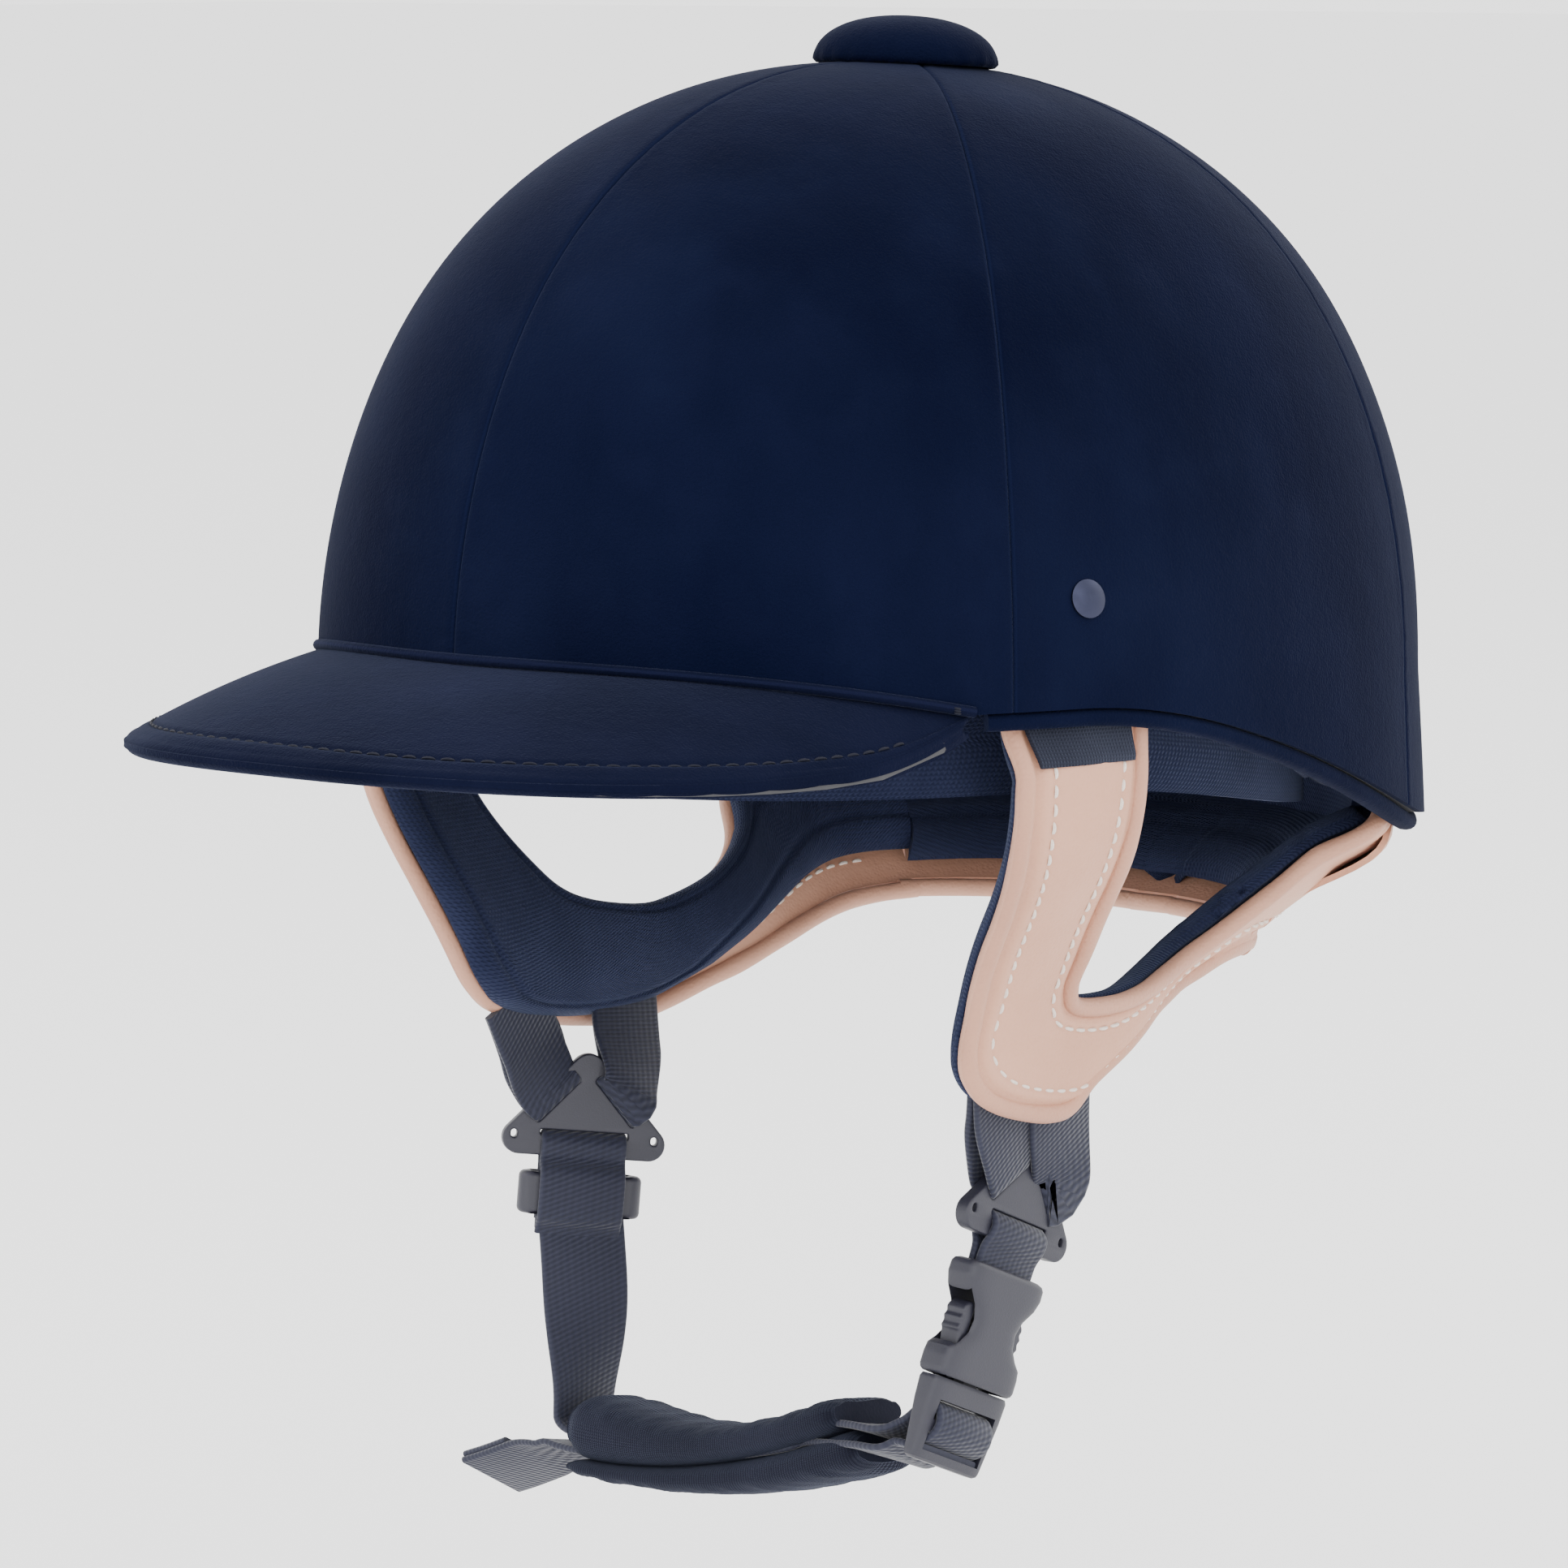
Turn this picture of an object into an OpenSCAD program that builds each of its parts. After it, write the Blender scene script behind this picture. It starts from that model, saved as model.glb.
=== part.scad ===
// Velvet-covered riding helmet with a leather harness and a buckled chin strap.
// Frame: +Z up, the peak points to -Y, the wearer's left is +X.
// The origin is the centre of the head opening, at the height of the side rims.

/* [Shell] */
// Half the width of the covered shell
half_w = 105.5; // [98:0.5:112]
// Reach of the covered shell to the front
reach_front = 132; // [126:0.5:140]
// Reach of the covered shell to the back
reach_back = 142; // [136:0.5:150]
// Height of the covered crown above the origin
crown_h = 133.5; // [128:0.5:140]
// Power of the crown's rounded profile
crown_power = 2.2; // [2.1:0.05:2.4]
// How far the button sits behind the middle
button_y = 12.5; // [8:0.5:15]
// Height of the side rims
rim_side = 4.2; // [2:0.2:6]
// Height of the rim at the nape
rim_back = -33; // [-38:0.5:-28]
// Thickness of the hard shell
shell_t = 2.6; // [2:0.1:3]
// Thickness of the velvet cover
cover_t = 1.2; // [1:0.1:1.3]
// Thickness of the foam liner at the sides
liner_side_t = 16; // [14:0.5:17]
// Thickness of the foam liner at the front and back
liner_end_t = 25; // [22:0.5:26]
// Diameter of the crown button
button_d = 40; // [36:1:42]
// Height of the crown button
button_h = 11; // [9:0.5:13]

/* [Peak] */
// Reach of the peak in front of the origin
peak_tip = 186; // [180:1:195]
// Angle from the front to each end of the peak
peak_end = 57; // [54:0.5:60]
// Height of the seam between crown and peak at the front
peak_seam_h = 14; // [12:0.5:16]
// Height of the peak's top face at its tip
peak_tip_h = -1.5; // [-4:0.5:0]

/* [Harness] */
// Thickness of the harness leather
leather_t = 1.4; // [1.2:0.1:1.6]
// Thickness of the padded lining
lining_t = 5; // [4:0.5:6]
// Radius of the leather piping
piping_r = 2; // [1.6:0.1:2]
// Height of the nape panel's lower edge
nape_low = -60; // [-64:0.5:-57]

/* [Chin strap] */
// Width of the webbing
web_w = 19; // [17:0.5:20]
// Thickness of the webbing
web_t = 1.5; // [1.3:0.1:1.6]
// Half the distance between the two dividers
loop_half = 57.5; // [56:0.5:59]
// Forward lean of the hanging strap
lean = 7; // [5:0.5:9]
// Depth of the chin pad's lowest point below the harness
chin_drop = 83.2; // [82:0.2:84]
// Width of the side-release buckle
buckle_w = 26; // [25.5:0.5:27]
// Thickness of the side-release buckle
buckle_t = 9.4; // [9.2:0.1:9.8]

/* [Hidden] */

velvet = [0.05, 0.08, 0.17];
velvet_peak = [0.08, 0.10, 0.18];
nude = [0.85, 0.72, 0.64];
navy_lining = [0.10, 0.12, 0.20];
grey_lining = [0.22, 0.24, 0.30];
web_black = [0.07, 0.09, 0.13];
plastic = [0.10, 0.11, 0.15];
steel = [0.60, 0.62, 0.68];
foam_white = [0.85, 0.85, 0.86];

gap = 0.3;
seams = [0, 61, 121, 180, 239, 299, 360];
gore_cols = 7;
crown_rows = 9;
skirt_rows = 3;
shell_in = cover_t + gap + shell_t;
liner_in = shell_in + 2.2;

// ---- Small maths ----

function smooth01(v) = let (u = min(1, max(0, v))) u * u * (3 - 2 * u);
function mix(a, b, u) = a + (b - a) * u;
function unit(v) = v / norm(v);

// One point of a smooth curve through the listed points
function curve_at(p, u) =
    let (n = len(p) - 1, i = min(n - 1, floor(u * n)), f = u * n - i,
        a = p[max(0, i - 1)], b = p[i], c = p[i + 1], d = p[min(n, i + 2)])
    0.5 * (2 * b + (c - a) * f + (2 * a - 5 * b + 4 * c - d) * f * f
        + (3 * b - a - 3 * c + d) * f * f * f);

// ---- Solids from grids of points ----

// Solid between two grids of the same size; wrap joins the last column to the first
module grid_solid(outer, inner, wrap = false) {
    nr = len(outer);
    nc = len(outer[0]);
    cn = wrap ? nc : nc - 1;
    points = concat([for (row = outer) each row], [for (row = inner) each row]);
    function id(side, i, j) = side * nr * nc + i * nc + j % nc;
    function quad(a, b, c, d) = [[a, b, c], [a, c, d]];
    skins = [for (i = [0:nr - 2], j = [0:cn - 1]) each concat(
        quad(id(0, i, j), id(0, i, j + 1), id(0, i + 1, j + 1), id(0, i + 1, j)),
        quad(id(1, i, j), id(1, i + 1, j), id(1, i + 1, j + 1), id(1, i, j + 1)))];
    rims = [for (j = [0:cn - 1]) each concat(
        quad(id(0, 0, j), id(1, 0, j), id(1, 0, j + 1), id(0, 0, j + 1)),
        quad(id(0, nr - 1, j), id(0, nr - 1, j + 1), id(1, nr - 1, j + 1), id(1, nr - 1, j)))];
    walls = wrap ? [] : [for (i = [0:nr - 2]) each concat(
        quad(id(0, i, 0), id(0, i + 1, 0), id(1, i + 1, 0), id(1, i, 0)),
        quad(id(0, i, nc - 1), id(1, i, nc - 1), id(1, i + 1, nc - 1), id(0, i + 1, nc - 1)))];
    polyhedron(points, concat(skins, rims, walls));
}

// Solid through a list of rings; closed joins the last ring to the first
module loft(rings, closed = false) {
    nr = len(rings);
    nc = len(rings[0]);
    rn = closed ? nr : nr - 1;
    function id(i, j) = (i % nr) * nc + j % nc;
    sides = [for (i = [0:rn - 1], j = [0:nc - 1]) each [
        [id(i, j), id(i, j + 1), id(i + 1, j + 1)], [id(i, j), id(i + 1, j + 1), id(i + 1, j)]]];
    caps = closed ? [] : [[for (j = [nc - 1:-1:0]) id(0, j)], [for (j = [0:nc - 1]) id(nr - 1, j)]];
    polyhedron([for (ring = rings) each ring], concat(sides, caps));
}

// Rings of a round tube along a path; face is a direction the rings never turn over
function tube_rings(path, r, sides, face) = [for (i = [0:len(path) - 1])
    let (t = unit(path[min(i + 1, len(path) - 1)] - path[max(i - 1, 0)]),
        s = unit(cross(t, face)), n = cross(s, t))
    [for (k = [0:sides - 1]) path[i] + r * (cos(360 * k / sides) * s + sin(360 * k / sides) * n)]];

// ---- The crown's surface ----

// Half axes of the crown surface at a depth below the velvet: [side, front, back, height]
function layer(d) = [half_w - d, reach_front - d, reach_back - d, crown_h - d];
function reach_y(ax, y) = y < 0 ? ax[1] : ax[2];
function profile_r(ax, z) = z > 0 ? pow(1 - pow(z / ax[3], crown_power), 1 / crown_power)
    : 1 - 0.0004 * z;
function profile_z(ax, r) = ax[3] * pow(max(0, 1 - pow(r, crown_power)), 1 / crown_power);
function rim_point(ax, phi) = [ax[0] * sin(phi), -(cos(phi) > 0 ? ax[1] : ax[2]) * cos(phi)];
function plan_r(ax, p) = norm([p[0] / ax[0], p[1] / reach_y(ax, p[1])]);

// Share of the way from the button to the rim point where a ring of size r is met
function ray_solve(phi, r, side, reach, e) =
    let (ex = e[0] / side, ey = (e[1] - button_y) / reach, c0 = button_y / reach,
        qa = ex * ex + ey * ey, qb = 2 * c0 * ey, qc = c0 * c0 - r * r)
    (-qb + sqrt(max(0, qb * qb - 4 * qa * qc))) / (2 * qa);
function ray_share(ax, phi, r) =
    let (e = rim_point(ax, phi), t = ray_solve(phi, r, ax[0], ax[1], e))
    button_y + t * (e[1] - button_y) <= 0 ? t : ray_solve(phi, r, ax[0], ax[2], e);
function ray_plan(ax, phi, t) =
    let (e = rim_point(ax, phi)) [e[0] * t, button_y + (e[1] - button_y) * t];

// Height of the shell's lower edge, and of the velvet's lower edge above the peak
function fold(phi) = phi > 180 ? 360 - phi : phi;
function rim_z(phi) = mix(rim_side, rim_back, smooth01((fold(phi) - 68) / 70));
function cover_z(phi) = fold(phi) > peak_end ? rim_z(phi)
    : mix(peak_seam_h, rim_side, pow(fold(phi) / peak_end, 2.6));

// Point of a layer: v from 0 at the button's ring to 1 at the lower edge
function crown_point(ax, phi, row, t0, low) =
    let (z_turn = max(0, low) + 7, r_turn = profile_r(ax, z_turn),
        t_turn = ray_share(ax, phi, r_turn),
        upper = row <= crown_rows, share = sin(90 * row / crown_rows),
        t_up = t0 + (t_turn - t0) * share,
        z_low = mix(z_turn, low, (row - crown_rows) / skirt_rows),
        t = upper ? t_up : ray_share(ax, phi, profile_r(ax, z_low)),
        p = ray_plan(ax, phi, t))
    [p[0], p[1], upper ? profile_z(ax, plan_r(ax, p)) : z_low];

function ring_phis(cols = gore_cols) = [for (k = [0:5], j = [0:cols - 1])
    mix(seams[k], seams[k + 1], j / cols)];
inner_cols = 5;

// ---- Shell, cover and liner ----

module outer_shell() {
    outer = [for (i = [crown_rows + skirt_rows:-1:0]) [for (f = ring_phis())
        crown_point(layer(cover_t + gap), f, i, 0.035, rim_z(f))]];
    inner = [for (i = [crown_rows + skirt_rows:-1:0]) [for (f = ring_phis())
        crown_point(layer(shell_in), f, i, 0.035, rim_z(f))]];
    color(plastic) grid_solid(outer, inner, true);
}

// One velvet gore between two seams
module crown_panel(k) {
    function edge_gap(j) = j == 0 ? 0.12 : j == gore_cols ? -0.12 : 0;
    phis = [for (j = [0:gore_cols]) mix(seams[k], seams[k + 1], j / gore_cols) + edge_gap(j)];
    outer = [for (i = [crown_rows + skirt_rows:-1:0]) [for (f = phis)
        crown_point(layer(0), f, i, 0.05, cover_z(f))]];
    inner = [for (i = [crown_rows + skirt_rows:-1:0]) [for (f = phis)
        crown_point(layer(cover_t), f, i, 0.05, cover_z(f))]];
    color(velvet) grid_solid(outer, inner);
}
module panel_front_left() { crown_panel(0); }
module panel_side_left() { crown_panel(1); }
module panel_rear_left() { crown_panel(2); }
module panel_rear_right() { crown_panel(3); }
module panel_side_right() { crown_panel(4); }
module panel_front_right() { crown_panel(5); }

// The button stands on the slope just behind the top of the crown
button_tilt = 3.5;
module at_button() {
    translate([0, button_y, profile_z(layer(0), button_y / reach_back)])
        rotate([-button_tilt, 0, 0]) children();
}
module crown_button() {
    r = button_d / 2;
    dome = [for (i = [0:12]) let (a = 90 * i / 12)
        [r * pow(cos(a), 0.9), (button_h - 1) * pow(sin(a), 0.95)]];
    color(velvet) at_button() rotate_extrude($fn = 64)
        polygon(concat([[0, 0.4], [13, 0.1], [r - 0.4, -0.75]], dome));
}
module button_stud() {
    color(steel) at_button() translate([0, 0, -9]) cylinder(d = 3, h = 9.2, $fn = 32);
}

foam_axes = [half_w - liner_in, reach_front - liner_in, reach_back - liner_in, crown_h - liner_in];
hollow_axes = [foam_axes[0] - liner_side_t, foam_axes[1] - liner_end_t,
    foam_axes[2] - liner_end_t, foam_axes[3] - 20];
function foam_low(phi) = rim_z(phi) + 11;
module foam_liner() {
    rows = [crown_rows + skirt_rows:-1:0];
    phis = ring_phis(inner_cols);
    outer = [for (i = rows) [for (f = phis) crown_point(foam_axes, f, i, 0.05, foam_low(f))]];
    inner = [for (i = rows) [for (f = phis) crown_point(hollow_axes, f, i, 0.05, foam_low(f))]];
    color(foam_white) grid_solid(outer, inner, true);
}

// A textile band that closes the foam's lower edge
module liner_edge_cover() {
    function edge_ring(d, drop) = [for (f = ring_phis(inner_cols))
        let (t = 1 - d / 100, e = rim_point(foam_axes, f))
        [e[0] * t, e[1] * t, foam_low(f) - drop]];
    top = [for (d = [12:-4:4]) edge_ring(d, gap)];
    under = [for (d = [12:-4:4]) edge_ring(d, 2.2)];
    color(grey_lining) grid_solid(under, top, true);
}

function shrink(ax, d) = [for (a = ax) a - d];
module crown_pad() {
    pad_rows = [4:-1:0];
    outer_axes = shrink(hollow_axes, gap);
    inner_axes = shrink(hollow_axes, 7);
    function pad_grid(ax) = [for (i = pad_rows) [for (f = ring_phis(inner_cols))
        let (p = ray_plan(outer_axes, f, 0.06 + 0.1 * i)) [p[0], p[1], profile_z(ax, plan_r(ax, p))]]];
    color(navy_lining) grid_solid(pad_grid(outer_axes), pad_grid(inner_axes), true);
}

// The padded band that rests on the head
module headband() {
    levels = [-15, -9, 4, 18, 23];
    fat = [3.2, 6.4, 7, 6.2, 3];
    function band(i, d) = [for (f = ring_phis(inner_cols))
        let (z = levels[i] + 0.36 * (rim_z(f) - rim_side), e = rim_point(shrink(hollow_axes, gap), f),
            r = profile_r(hollow_axes, z), t = 1 - d / norm(e))
        [e[0] * r * t, e[1] * r * t, z]];
    outer = [for (i = [0:4]) band(i, 0)];
    inner = [for (i = [0:4]) band(i, fat[i])];
    color(navy_lining) grid_solid(outer, inner, true);
}

// ---- Peak ----

peak_cols = 24;
peak_rows = 5;
peak_end_pt = rim_point(layer(0), peak_end);
function peak_share(c) = pow(c, 0.803);
function peak_edge(s) =
    let (u = peak_share(abs(cos(90 * s))), w = peak_share(abs(sin(90 * s))) * sign(s))
    [peak_end_pt[0] * w, peak_end_pt[1] + (-peak_tip - peak_end_pt[1]) * u,
        -4.4 + (rim_side + 4.4) * pow(1 - min(1, u / 0.35), 2)
            + (peak_tip_h + 4.4) * pow(max(0, 2 * u - 1), 1.5)];
function peak_root(s) =
    let (phi = peak_end * s, ax = layer(cover_t - 0.4), z = cover_z(abs(phi)) - 0.4,
        r = profile_r(ax, z), e = rim_point(ax, phi)) [e[0] * r, e[1] * r, z];
// Top face of the peak; v from 0 at the shell to 1 at the edge
function peak_top(s, v) = mix(peak_root(s), peak_edge(s), v)
    + [0, 0, 10 * v * (1 - v) * cos(90 * s)];
module peak_layer(drop, t, reach) {
    function face(d) = [for (i = [0:peak_rows]) [for (j = [0:peak_cols])
        peak_top(mix(-0.97, 0.97, j / peak_cols), reach * i / peak_rows) - [0, 0, d]]];
    grid_solid(face(drop + t), face(drop));
}
module peak_top_cover() { color(velvet_peak) peak_layer(0, 1, 1); }
module peak_board() { color(plastic) peak_layer(1.2, 2, 0.98); }
module peak_under_cover() { color(velvet_peak) peak_layer(3.4, 0.9, 1); }

// ---- Rim binding ----

module rim_binding() {
    steps = 60;
    path = [for (i = [0:steps])
        let (phi = mix(peak_end + 2, 358 - peak_end, i / steps), ax = layer(2.6), e = rim_point(ax, phi),
            z = rim_z(phi) - 2.1) [e[0], e[1], z]];
    rings = [for (i = [0:steps])
        let (t = unit(path[min(i + 1, steps)] - path[max(i - 1, 0)]), s = unit(cross(t, [0, 0, 1])),
            n = cross(s, t))
        [for (k = [0:5]) path[i] + 2.4 * cos(60 * k) * s + 1.7 * sin(60 * k) * n]];
    color(velvet) loft(rings);
}

// ---- Harness ----

// Half width and back reach of the harness at a height
function harness_a(z) = 69 + 31.5 * smooth01((z + 70) / 56);
function harness_b(z) = 100 + 37 * smooth01((z + 64) / 24);
tuck = 1.1;
tuck_axes = layer(shell_in + tuck);
function rim_z_at(y) = rim_z(acos(max(-1, min(1, -y / reach_y(layer(0), y)))));
function flat_x(y, z) =
    let (b = y < 0 ? 130 : harness_b(z), pinch = y < 0 ? 0 : 8 * smooth01(y / 40) * smooth01((-z - 20) / 25))
    (harness_a(z) - pinch) * pow(max(0.001, 1 - pow(min(0.999, abs(y) / b), 2.5)), 0.4);
function tucked_x(y) = tuck_axes[0] * sqrt(max(0.001, 1 - pow(y / reach_y(tuck_axes, y), 2)));
// Outer face of the harness at a place on the side view, and the same face set in by d
function harness_x(y, z) = mix(min(tucked_x(y), harness_a(0)), flat_x(y, z),
    smooth01((rim_z_at(y) - 1 - z) / 14));
function side_point(p, d) = [harness_x(p[0], p[1]) - d, p[0], p[1]];

// Edges of the side piece on the side view, as [y, z]: the ear opening, and the outside
ear_edge = [[-30, 8], [-29, -2], [-25, -20], [-22, -40], [-19, -54], [-12, -60], [2, -58],
    [24, -52], [43, -45], [56, -36], [67, -25], [80, -19], [100, -19]];
outer_edge = [[-62, 8], [-63, -5], [-62, -22], [-57, -48], [-52, -71], [-42, -82], [-28, -85.5],
    [-5, -81.5], [14, -75.5], [33, -69], [48, -64.5], [61, -61.5], [75, -60]];
side_cols = 30;
side_rows = 5;
function side_at(u, s) = mix(curve_at(ear_edge, u), curve_at(outer_edge, u), s);
function side_grid(s0, s1, d) = [for (i = [0:side_rows]) [for (j = [0:side_cols])
    side_point(side_at(j / side_cols, mix(s0, s1, i / side_rows)), d)]];

module harness_leather() {
    color(nude) grid_solid(side_grid(0.1, 0.9, 0), side_grid(0.1, 0.9, leather_t));
}
lining_in = 2 * piping_r + 0.2;
module harness_lining() {
    outer = side_grid(0.02, 0.98, lining_in);
    inner = side_grid(0.06, 0.94, lining_in + lining_t);
    color(navy_lining) grid_solid(outer, inner);
}
module harness_piping() {
    steps = 44;
    for (edge = [ear_edge, outer_edge]) {
        path = [for (i = [0:steps]) side_point(curve_at(edge, i / steps), piping_r - 0.1)];
        color(nude) loft(tube_rings(path, piping_r, 6, [1, 0, 0]));
    }
}
module harness_leather_left() { harness_leather(); }
module harness_leather_right() { mirror([1, 0, 0]) harness_leather(); }
module harness_lining_left() { harness_lining(); }
module harness_lining_right() { mirror([1, 0, 0]) harness_lining(); }
module harness_piping_left() { harness_piping(); }
module harness_piping_right() { mirror([1, 0, 0]) harness_piping(); }

// Nape panel, from one side piece round the back to the other
nape_cols = 20;
// Angle at which the panel's end laps the side piece, at a height
function nape_start(z) = 40.5 + 3 * (z + 60) / 39 - 7.5 * exp(-pow((z + 44) / 9.5, 2));
nape_high = -21;
function nape_point(w, z, d) =
    let (c = cos(w), s = sin(w), turn = smooth01((rim_back - 1 - z) / 16),
        low_y = harness_b(z) * pow(abs(s), 0.8), low_x = flat_x(low_y, z) * sign(c),
        p = [mix(tuck_axes[0] * c, low_x, turn), mix(tuck_axes[2] * s, low_y, turn)],
        q = p * (1 - d / norm(p)))
    [q[0], q[1], z];
function nape_z(v) = mix(nape_high, nape_low, v);
function nape_grid(d, v0, v1) = [for (i = [0:4]) let (z = nape_z(mix(v0, v1, i / 4)))
    [for (j = [0:nape_cols]) nape_point(mix(nape_start(z), 180 - nape_start(z), j / nape_cols), z, d)]];
module nape_leather() {
    color(nude) grid_solid(nape_grid(0, 0, 0.93), nape_grid(leather_t, 0, 0.93));
}
module nape_lining() {
    color(navy_lining) grid_solid(nape_grid(lining_in, 0.02, 0.98),
        nape_grid(lining_in + lining_t, 0.06, 0.94));
}
module nape_piping() {
    steps = 30;
    path = [for (i = [0:steps])
        let (w = nape_start(nape_low)) nape_point(mix(w, 180 - w, i / steps), nape_low, piping_r - 0.1)];
    color(nude) loft(tube_rings(path, piping_r, 6, [0, 0, 1]));
}

// Blank tab folded over the top of the left front leg
module label_tab() {
    function tab(d) = [for (z = [4, 0, -4, -8]) [for (y = [-58:5:-33])
        [harness_x(y, z) + d, y, z]]];
    color(velvet) grid_solid(tab(0.9), tab(0.2));
}

// ---- Fixings between shell and harness ----

// Each anchor is [angle round the shell, height]
anchors = [[69, 26.4], [155, -6]];
module each_anchor() {
    for (side = [-1, 1], a = anchors) {
        ax = layer(0);
        r = profile_r(ax, a[1]);
        e = rim_point(ax, a[0]) * r;
        turn = atan2(e[1] / pow(reach_y(ax, e[1]), 2), e[0] / pow(ax[0], 2));
        tip = a[1] > 0 ? 12 : 0;
        if (side > 0) translate([e[0], e[1], a[1]]) rotate([0, 0, turn]) rotate([0, 90 - tip, 0]) children();
        else mirror([1, 0, 0]) translate([e[0], e[1], a[1]]) rotate([0, 0, turn]) rotate([0, 90 - tip, 0])
            children();
    }
}
module anchor_rivets() {
    color(steel) each_anchor() {
        rotate_extrude($fn = 48) intersection() {
            translate([0, 0.25]) square([4, 1.4]);
            translate([0, -7.4]) circle(r = 9, $fn = 96);
        }
        translate([0, 0, -8.6]) cylinder(d = 3, h = 9, $fn = 32);
    }
}
module anchor_washers() {
    color(steel) each_anchor() translate([0, 0, -7.2]) difference() {
        cylinder(d = 10, h = 0.6, $fn = 48);
        translate([0, 0, -1]) cylinder(d = 3.3, h = 3, $fn = 32);
    }
}
module anchor_tabs() {
    function tab(a, side, d) = [for (k = [0:3]) [for (j = [-1:1])
        let (ax = layer(shell_in + d), phi = a[0] + 4.5 * j, z = mix(a[1] + 8, rim_z(a[0]) + 6, k / 3),
            r = profile_r(ax, z), e = rim_point(ax, phi)) [e[0] * r * side, e[1] * r, z]]];
    color(web_black) for (a = anchors) {
        grid_solid(tab(a, 1, 1.4), tab(a, 1, 0.4));
        grid_solid(tab(a, -1, 0.4), tab(a, -1, 1.4));
    }
}

// ---- Chin strap: drawn in the plane of the hanging loop ----

loop_y = -27;
loop_z = -84;
bar_z = -26.7;
web_gap = 0.35;
buckle_tilt = 4;
left_roll = 15;
roll_z = -60;
right_turn = 40;
module in_loop() {
    translate([0, loop_y, loop_z]) rotate([-lean, 0, 0]) children();
}
// The left side hangs further forward, and the right side is turned to the front
module in_left() {
    in_loop() translate([loop_half, 0, roll_z]) rotate([-left_roll, 0, 0]) translate([0, 0, -roll_z])
        children();
}
module in_right() {
    in_loop() translate([-loop_half, 0, 0]) rotate([0, 0, -right_turn]) children();
}
// Draws its outline in the loop's plane and gives it a width across the loop
module across(w) {
    rotate([90, 0, 0]) translate([0, 0, -w / 2]) linear_extrude(w) children();
}

// Outline of a flat strap along a path
function strap_outline(path, t) =
    let (n = len(path) - 1, side = [for (i = [0:n])
        let (d = unit(path[min(i + 1, n)] - path[max(i - 1, 0)])) [-d[1], d[0]]])
    concat([for (i = [0:n]) path[i] + side[i] * t / 2], [for (i = [n:-1:0]) path[i] - side[i] * t / 2]);

// Two webbings that run from the harness corner into the divider's upper slots
module webbing_v() {
    function ring(c, wide) = [c + wide + [web_t / 2, 0, 0], c - wide + [web_t / 2, 0, 0],
        c - wide - [web_t / 2, 0, 0], c + wide - [web_t / 2, 0, 0]];
    color(web_black) translate([4.2, 0, 0]) for (s = [-1, 1]) {
        top = [0, 17 * s, -10];
        low = [0, 9.2 * s, -19.5];
        run = unit(low - top);
        wide = [0, -run[2], run[1]] * 8.5;
        loft([ring(top + [3.6, 0, 0], wide), ring(low - [1, 0, 0], wide)]);
    }
}
module webbing_v_left() { in_left() webbing_v(); }
module webbing_v_right() { in_right() mirror([1, 0, 0]) webbing_v(); }

// Three-slot divider that joins the two webbings to the strap
module strap_divider() {
    color(plastic) rotate([90, 0, 90]) translate([0, 0, -1.6]) linear_extrude(3.2) difference() {
        hull() {
            translate([-14.5, -25.5]) circle(r = 3.5, $fn = 24);
            translate([14.5, -25.5]) circle(r = 3.5, $fn = 24);
            translate([0, -9]) circle(r = 4.5, $fn = 24);
        }
        translate([-web_w / 2 - 0.5, -24.4]) square([web_w + 1, 2.4]);
        for (s = [-1, 1]) translate([6.6 * s, -17]) rotate(-48 * s) square([9.5, 2.2], center = true);
    }
}
module divider_left() { in_left() strap_divider(); }
module divider_right() { in_right() strap_divider(); }

// Buckle places: z runs down the buckle from the divider's bar
module in_buckle() {
    in_left() translate([0, 0, bar_z]) rotate([0, buckle_tilt, 0]) mirror([0, 0, 1]) children();
}
socket_from = 8;
socket_to = 33;
inner_t = buckle_t - 2.6;
inner_w = buckle_w - 3.6;

// Webbing over the divider's lower bar; both ends run down to the stated depths
function over_bar(front, rear) = [[-2.2, front], [-2.6, 0.5], [-1.9, -1.6], [0, -2.9], [1.9, -1.6],
    [2.6, 0.5], [2.2, rear]];
module socket_webbing() {
    ends = socket_from - 0.4;
    color(web_black) in_buckle() across(web_w) polygon(strap_outline(over_bar(ends, ends), web_t));
}
module buckle_socket() {
    long = socket_to - socket_from;
    color(plastic) in_buckle() translate([0, 0, socket_from]) difference() {
        hull() for (s = [-1, 1]) translate([0, s * (buckle_w / 2 - buckle_t / 2), 0]) {
            cylinder(d = buckle_t, h = long, $fn = 24);
        }
        translate([-inner_t / 2, -inner_w / 2, 5]) cube([inner_t, inner_w, long]);
        for (s = [-1, 1]) translate([-inner_t / 2, s * buckle_w / 2 - 4, 10]) cube([inner_t, 8, 9]);
    }
}
// Ladder body of the plug, outside the socket
module buckle_plug() {
    color(plastic) in_buckle() translate([0, 0, socket_to + 0.5]) {
        difference() {
            hull() for (s = [-1, 1]) {
                translate([0, s * (buckle_w / 2 - 3.4), 0]) cylinder(d = 6.8, h = 1, $fn = 24);
                translate([0, s * (web_w / 2 + 0.6), 16.6]) cylinder(d = 4, h = 1, $fn = 24);
            }
            for (z = [6.4, 12.2]) translate([-5, -web_w / 2 - 0.5, z]) cube([10, web_w + 1, 3.4]);
        }
        translate([-1.4, -2.2, -13]) cube([2.8, 4.4, 13.3]);
    }
}
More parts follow.
